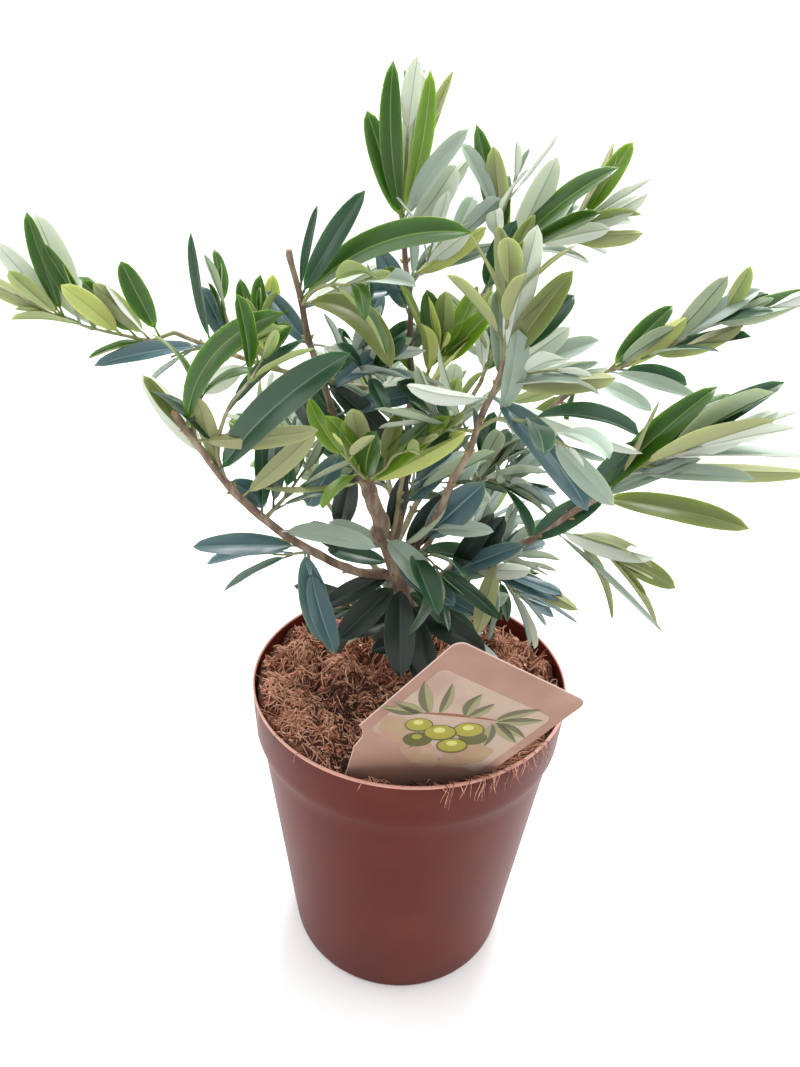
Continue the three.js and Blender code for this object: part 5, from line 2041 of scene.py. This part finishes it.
    def blade(
        self, x: float, y: float, heading: float, length: float, width: float, bend: float, half: int = 0,
    ) -> Outline:
        """Gives a drawn leaf's outline.

        Args:
            x: its foot across the card.
            y: its foot down the card.
            heading: its direction in degrees, 0 to the right and 90 up the card.
            length: its length.
            width: its width.
            bend: degrees that it turns over its length.
            half: 0 for the whole leaf, 1 or -1 for one side of its midrib.

        Returns:
            Points across and down.
        """
        line, angle, steps = [], heading, 12
        for k in range(steps + 1):
            a = math.radians(angle)
            wide = 0.5 * width * math.sin(math.pi * (k / steps) ** 0.85) ** 0.9 if 0 < k < steps else 0.0
            line.append((x, y, wide, a))
            x += length / steps * math.cos(a)
            y -= length / steps * math.sin(a)
            angle += bend / steps
        left = [(px - w * math.sin(a), py - w * math.cos(a)) for px, py, w, a in line]
        right = [(px + w * math.sin(a), py + w * math.cos(a)) for px, py, w, a in line]
        spine = [(px, py) for px, py, _w, _a in line]
        if half > 0:
            return left + spine[-2:0:-1]
        if half < 0:
            return spine + right[-2:0:-1]
        return left + right[-2:0:-1]

    def oval(
        self, x: float, y: float, tall: float, wide: float, lean: float, wobble: float = 0.0,
    ) -> Outline:
        """Gives the outline of a drawn olive, or of a wash with a wobbly edge.

        Args:
            x: its middle across the card.
            y: its middle down the card.
            tall: its long axis.
            wide: its short axis.
            lean: the turn of its long axis in degrees.
            wobble: how uneven its edge is.

        Returns:
            Points across and down.
        """
        a = math.radians(lean)
        points, count = [], 28
        for k in range(count):
            t = 2 * math.pi * k / count
            size = 1 + wobble * (math.sin(3 * t + x / MM) + 0.6 * math.sin(7 * t + y / MM))
            px, py = size * wide / 2 * math.sin(t), -size * tall / 2 * math.cos(t)
            points.append((x + px * math.cos(a) - py * math.sin(a), y + px * math.sin(a) + py * math.cos(a)))
        return points

    def add_sprig(self) -> None:
        """Draws the washes, the twig, its leaves and its olives."""
        ink, mm = self.ink, MM
        for x, y, tall, wide in ((44, 50, 20, 17), (13, 51, 15, 17), (29, 58, 12, 22)):
            shape = self.oval(x * mm, y * mm, tall * mm, wide * mm, 30, 0.12)
            self.add_patch(shape, CardSlot.WASH, 1.4 * ink)
        for x, y, heading, length, width, bend in ((13, 39, 30, 33, 1.5, -14), (26, 50, -112, 9, 1.3, 12)):
            shape = self.blade(x * mm, y * mm, heading, length * mm, width * mm, bend)
            self.add_patch(shape, CardSlot.TWIG, 2.2 * ink)
        leaves = (
            (14, 38, 208, 15, 4.6, -16), (15, 38, 176, 13, 4.4, 14), (17, 37, 140, 19, 5.2, -14),
            (20, 35, 104, 18, 4.0, 22), (29, 31, 118, 14, 5.2, -30), (30, 31, 66, 12, 4.4, 22),
            (40, 27, 64, 17, 4.8, -18), (41, 27, 30, 17, 4.8, 12), (41, 28, 2, 16, 4.6, -14),
            (41, 28, -26, 16, 4.6, 14), (40, 29, -56, 15, 4.6, -12),
        )
        for x, y, heading, length, width, bend in leaves:
            for half, slot in ((1, CardSlot.LEAF_DARK), (-1, CardSlot.LEAF_LIGHT)):
                shape = self.blade(x * mm, y * mm, heading, length * mm, width * mm, bend, half)
                self.add_patch(shape, slot, 2.6 * ink)
        olives = ((40, 40, 11, 8.4), (23, 52, 11, 8.6), (18, 44.5, 10.5, 8), (35.5, 37, 12, 9),
                  (27.5, 44, 12.5, 9.4), (36.5, 48, 12, 9))
        shaded = 2
        for rank, (x, y, tall, wide) in enumerate(olives):
            edge, body, shine = CardSlot.OLIVE_DARK, CardSlot.OLIVE, CardSlot.OLIVE_LIGHT
            if rank < shaded:
                body, shine = CardSlot.OLIVE_DARK, CardSlot.OLIVE
            for scale, slot, shift in ((1.0, edge, 0.0), (0.9, body, -0.4), (0.35, shine, -1.4)):
                lift = (3.0 + 0.7 * rank + 0.6 * (1 - scale)) * ink
                size = scale * mm
                shape = self.oval((x + shift) * mm, (y + shift) * mm, tall * size, wide * size, 60)
                self.add_patch(shape, slot, lift)


# ---------- studio
@dataclass
class Studio:
    """The pale floor, the soft lights and the camera."""

    floor_size: float = 200.0
    front_sky: float = 0.3
    back_sky: float = 1.14
    overhead: float = 1.0
    pitch: float = -28.81
    heading: float = 91.4
    roll: float = 2.65
    eye: Vector = field(default_factory=lambda: Vector((0.0, -303.5, 386.0)) * MM)
    lens: float = 28.48
    aim: tuple[float, float, float] = (0.0, 0.0, 0.25)

    def build(self) -> None:
        """Sets up the floor, the lights, the world and the camera."""
        self.add_floor()
        self.add_light("key_above", (0.1, 0.55, 1.1), 0.6, 12.0)
        self.add_light("sky_left", (-1.0, 0.2, 0.75), 0.8, 3.0)
        self.add_light("sky_right", (1.0, 0.1, 0.7), 0.8, 3.0)
        world = self.make_world()
        scene = bpy.context.scene
        scene.world = world
        scene.view_settings.view_transform = "Standard"
        scene.view_settings.look = "None"
        self.add_camera()

    def make_world(self) -> bpy.types.World:
        """Makes a sky that looks white and lights the plant most from above and behind.

        Returns:
            The new world.
        """
        world = bpy.data.worlds.new("soft_white")
        world.use_nodes = True
        tree = world.node_tree
        place = tree.nodes.new("ShaderNodeTexCoord")
        parts = tree.nodes.new("ShaderNodeSeparateXYZ")
        tree.links.new(place.outputs["Generated"], parts.inputs["Vector"])
        total = tree.nodes.new("ShaderNodeMath")
        total.operation = "ADD"
        lights = (("Y", self.front_sky, self.back_sky), ("Z", 0.0, self.overhead))
        for number, (axis, low, high) in enumerate(lights):
            span = tree.nodes.new("ShaderNodeMapRange")
            span.inputs["From Min"].default_value = -1.0 if axis == "Y" else 0.0
            span.inputs["To Min"].default_value = low
            span.inputs["To Max"].default_value = high
            tree.links.new(parts.outputs[axis], span.inputs["Value"])
            tree.links.new(span.outputs["Result"], total.inputs[number])
        seen = tree.nodes.new("ShaderNodeMath")
        seen.operation = "MAXIMUM"
        tree.links.new(total.outputs["Value"], seen.inputs[0])
        tree.links.new(tree.nodes.new("ShaderNodeLightPath").outputs["Is Camera Ray"], seen.inputs[1])
        background = tree.nodes["Background"]
        background.inputs["Color"].default_value = (1.0, 1.0, 1.0, 1.0)
        tree.links.new(seen.outputs["Value"], background.inputs["Strength"])
        return world

    def add_floor(self) -> None:
        """Adds the plain pale floor, which isn't part of the plant."""
        half = self.floor_size / 2
        mesh = bpy.data.meshes.new("studio_floor")
        corners = [(-half, -half, 0), (half, -half, 0), (half, half, 0), (-half, half, 0)]
        mesh.from_pydata(corners, [], [(0, 1, 2, 3)])
        mesh.materials.append(PlainFinish("studio_floor", (0.93, 0.93, 0.93), 0.9, 4.0, 0.01 * MM).material())
        put("studio_floor", mesh)

    def add_light(self, name: str, place: Sequence[float], size: float, power: float) -> None:
        """Adds one soft square light that faces the plant.

        Args:
            name: the light's name.
            place: where it hangs.
            size: the side of its square.
            power: its power in watts.
        """
        light = bpy.data.lights.new(name, "AREA")
        light.size = size
        light.energy = power
        lamp = put(name, light)
        lamp.location = place
        lamp.rotation_euler = (Vector(self.aim) - Vector(place)).to_track_quat("-Z", "Y").to_euler()

    def add_camera(self) -> None:
        """Adds the camera, looking down over the rim."""
        ahead = level_and_rise(self.heading, self.pitch)
        right = ahead.cross(UP).normalized()
        up = right.cross(ahead)
        right, up = spun(right, up, math.radians(self.roll))
        data = bpy.data.cameras.new("view")
        data.sensor_fit = "VERTICAL"
        data.sensor_height = 36.0
        data.lens = self.lens
        data.clip_start = 0.01
        camera = put("view", data)
        camera.matrix_world = Matrix((
            (right.x, up.x, -ahead.x, self.eye.x), (right.y, up.y, -ahead.y, self.eye.y),
            (right.z, up.z, -ahead.z, self.eye.z), (0, 0, 0, 1),
        ))
        bpy.context.scene.camera = camera


# ---------- assembly
def main() -> None:
    """Builds the tree, its pot, its card and the studio, and writes how large they came out."""
    Studio().build()
    limbs: dict[str, Limb] = {}
    for limb in LIMBS:
        limb.trace(limbs)
        limbs[limb.node] = limb
    for limb in LIMBS:
        limb.build(random.Random(limb.node))
    press = LeafPress()
    paths = {limb.node: limb.path for limb in LIMBS}
    for plan in MASS_PLANS:
        plan.grow(paths, press)
    for region, name, leaves in SET_LEAVES:
        for one in leaves:
            press.lay(one.leaf(paths[name]), region)
    press.finish()
    CoirFill().build()
    Pot().build()
    PlantCard().build()


if __name__ == "__main__":
    main()
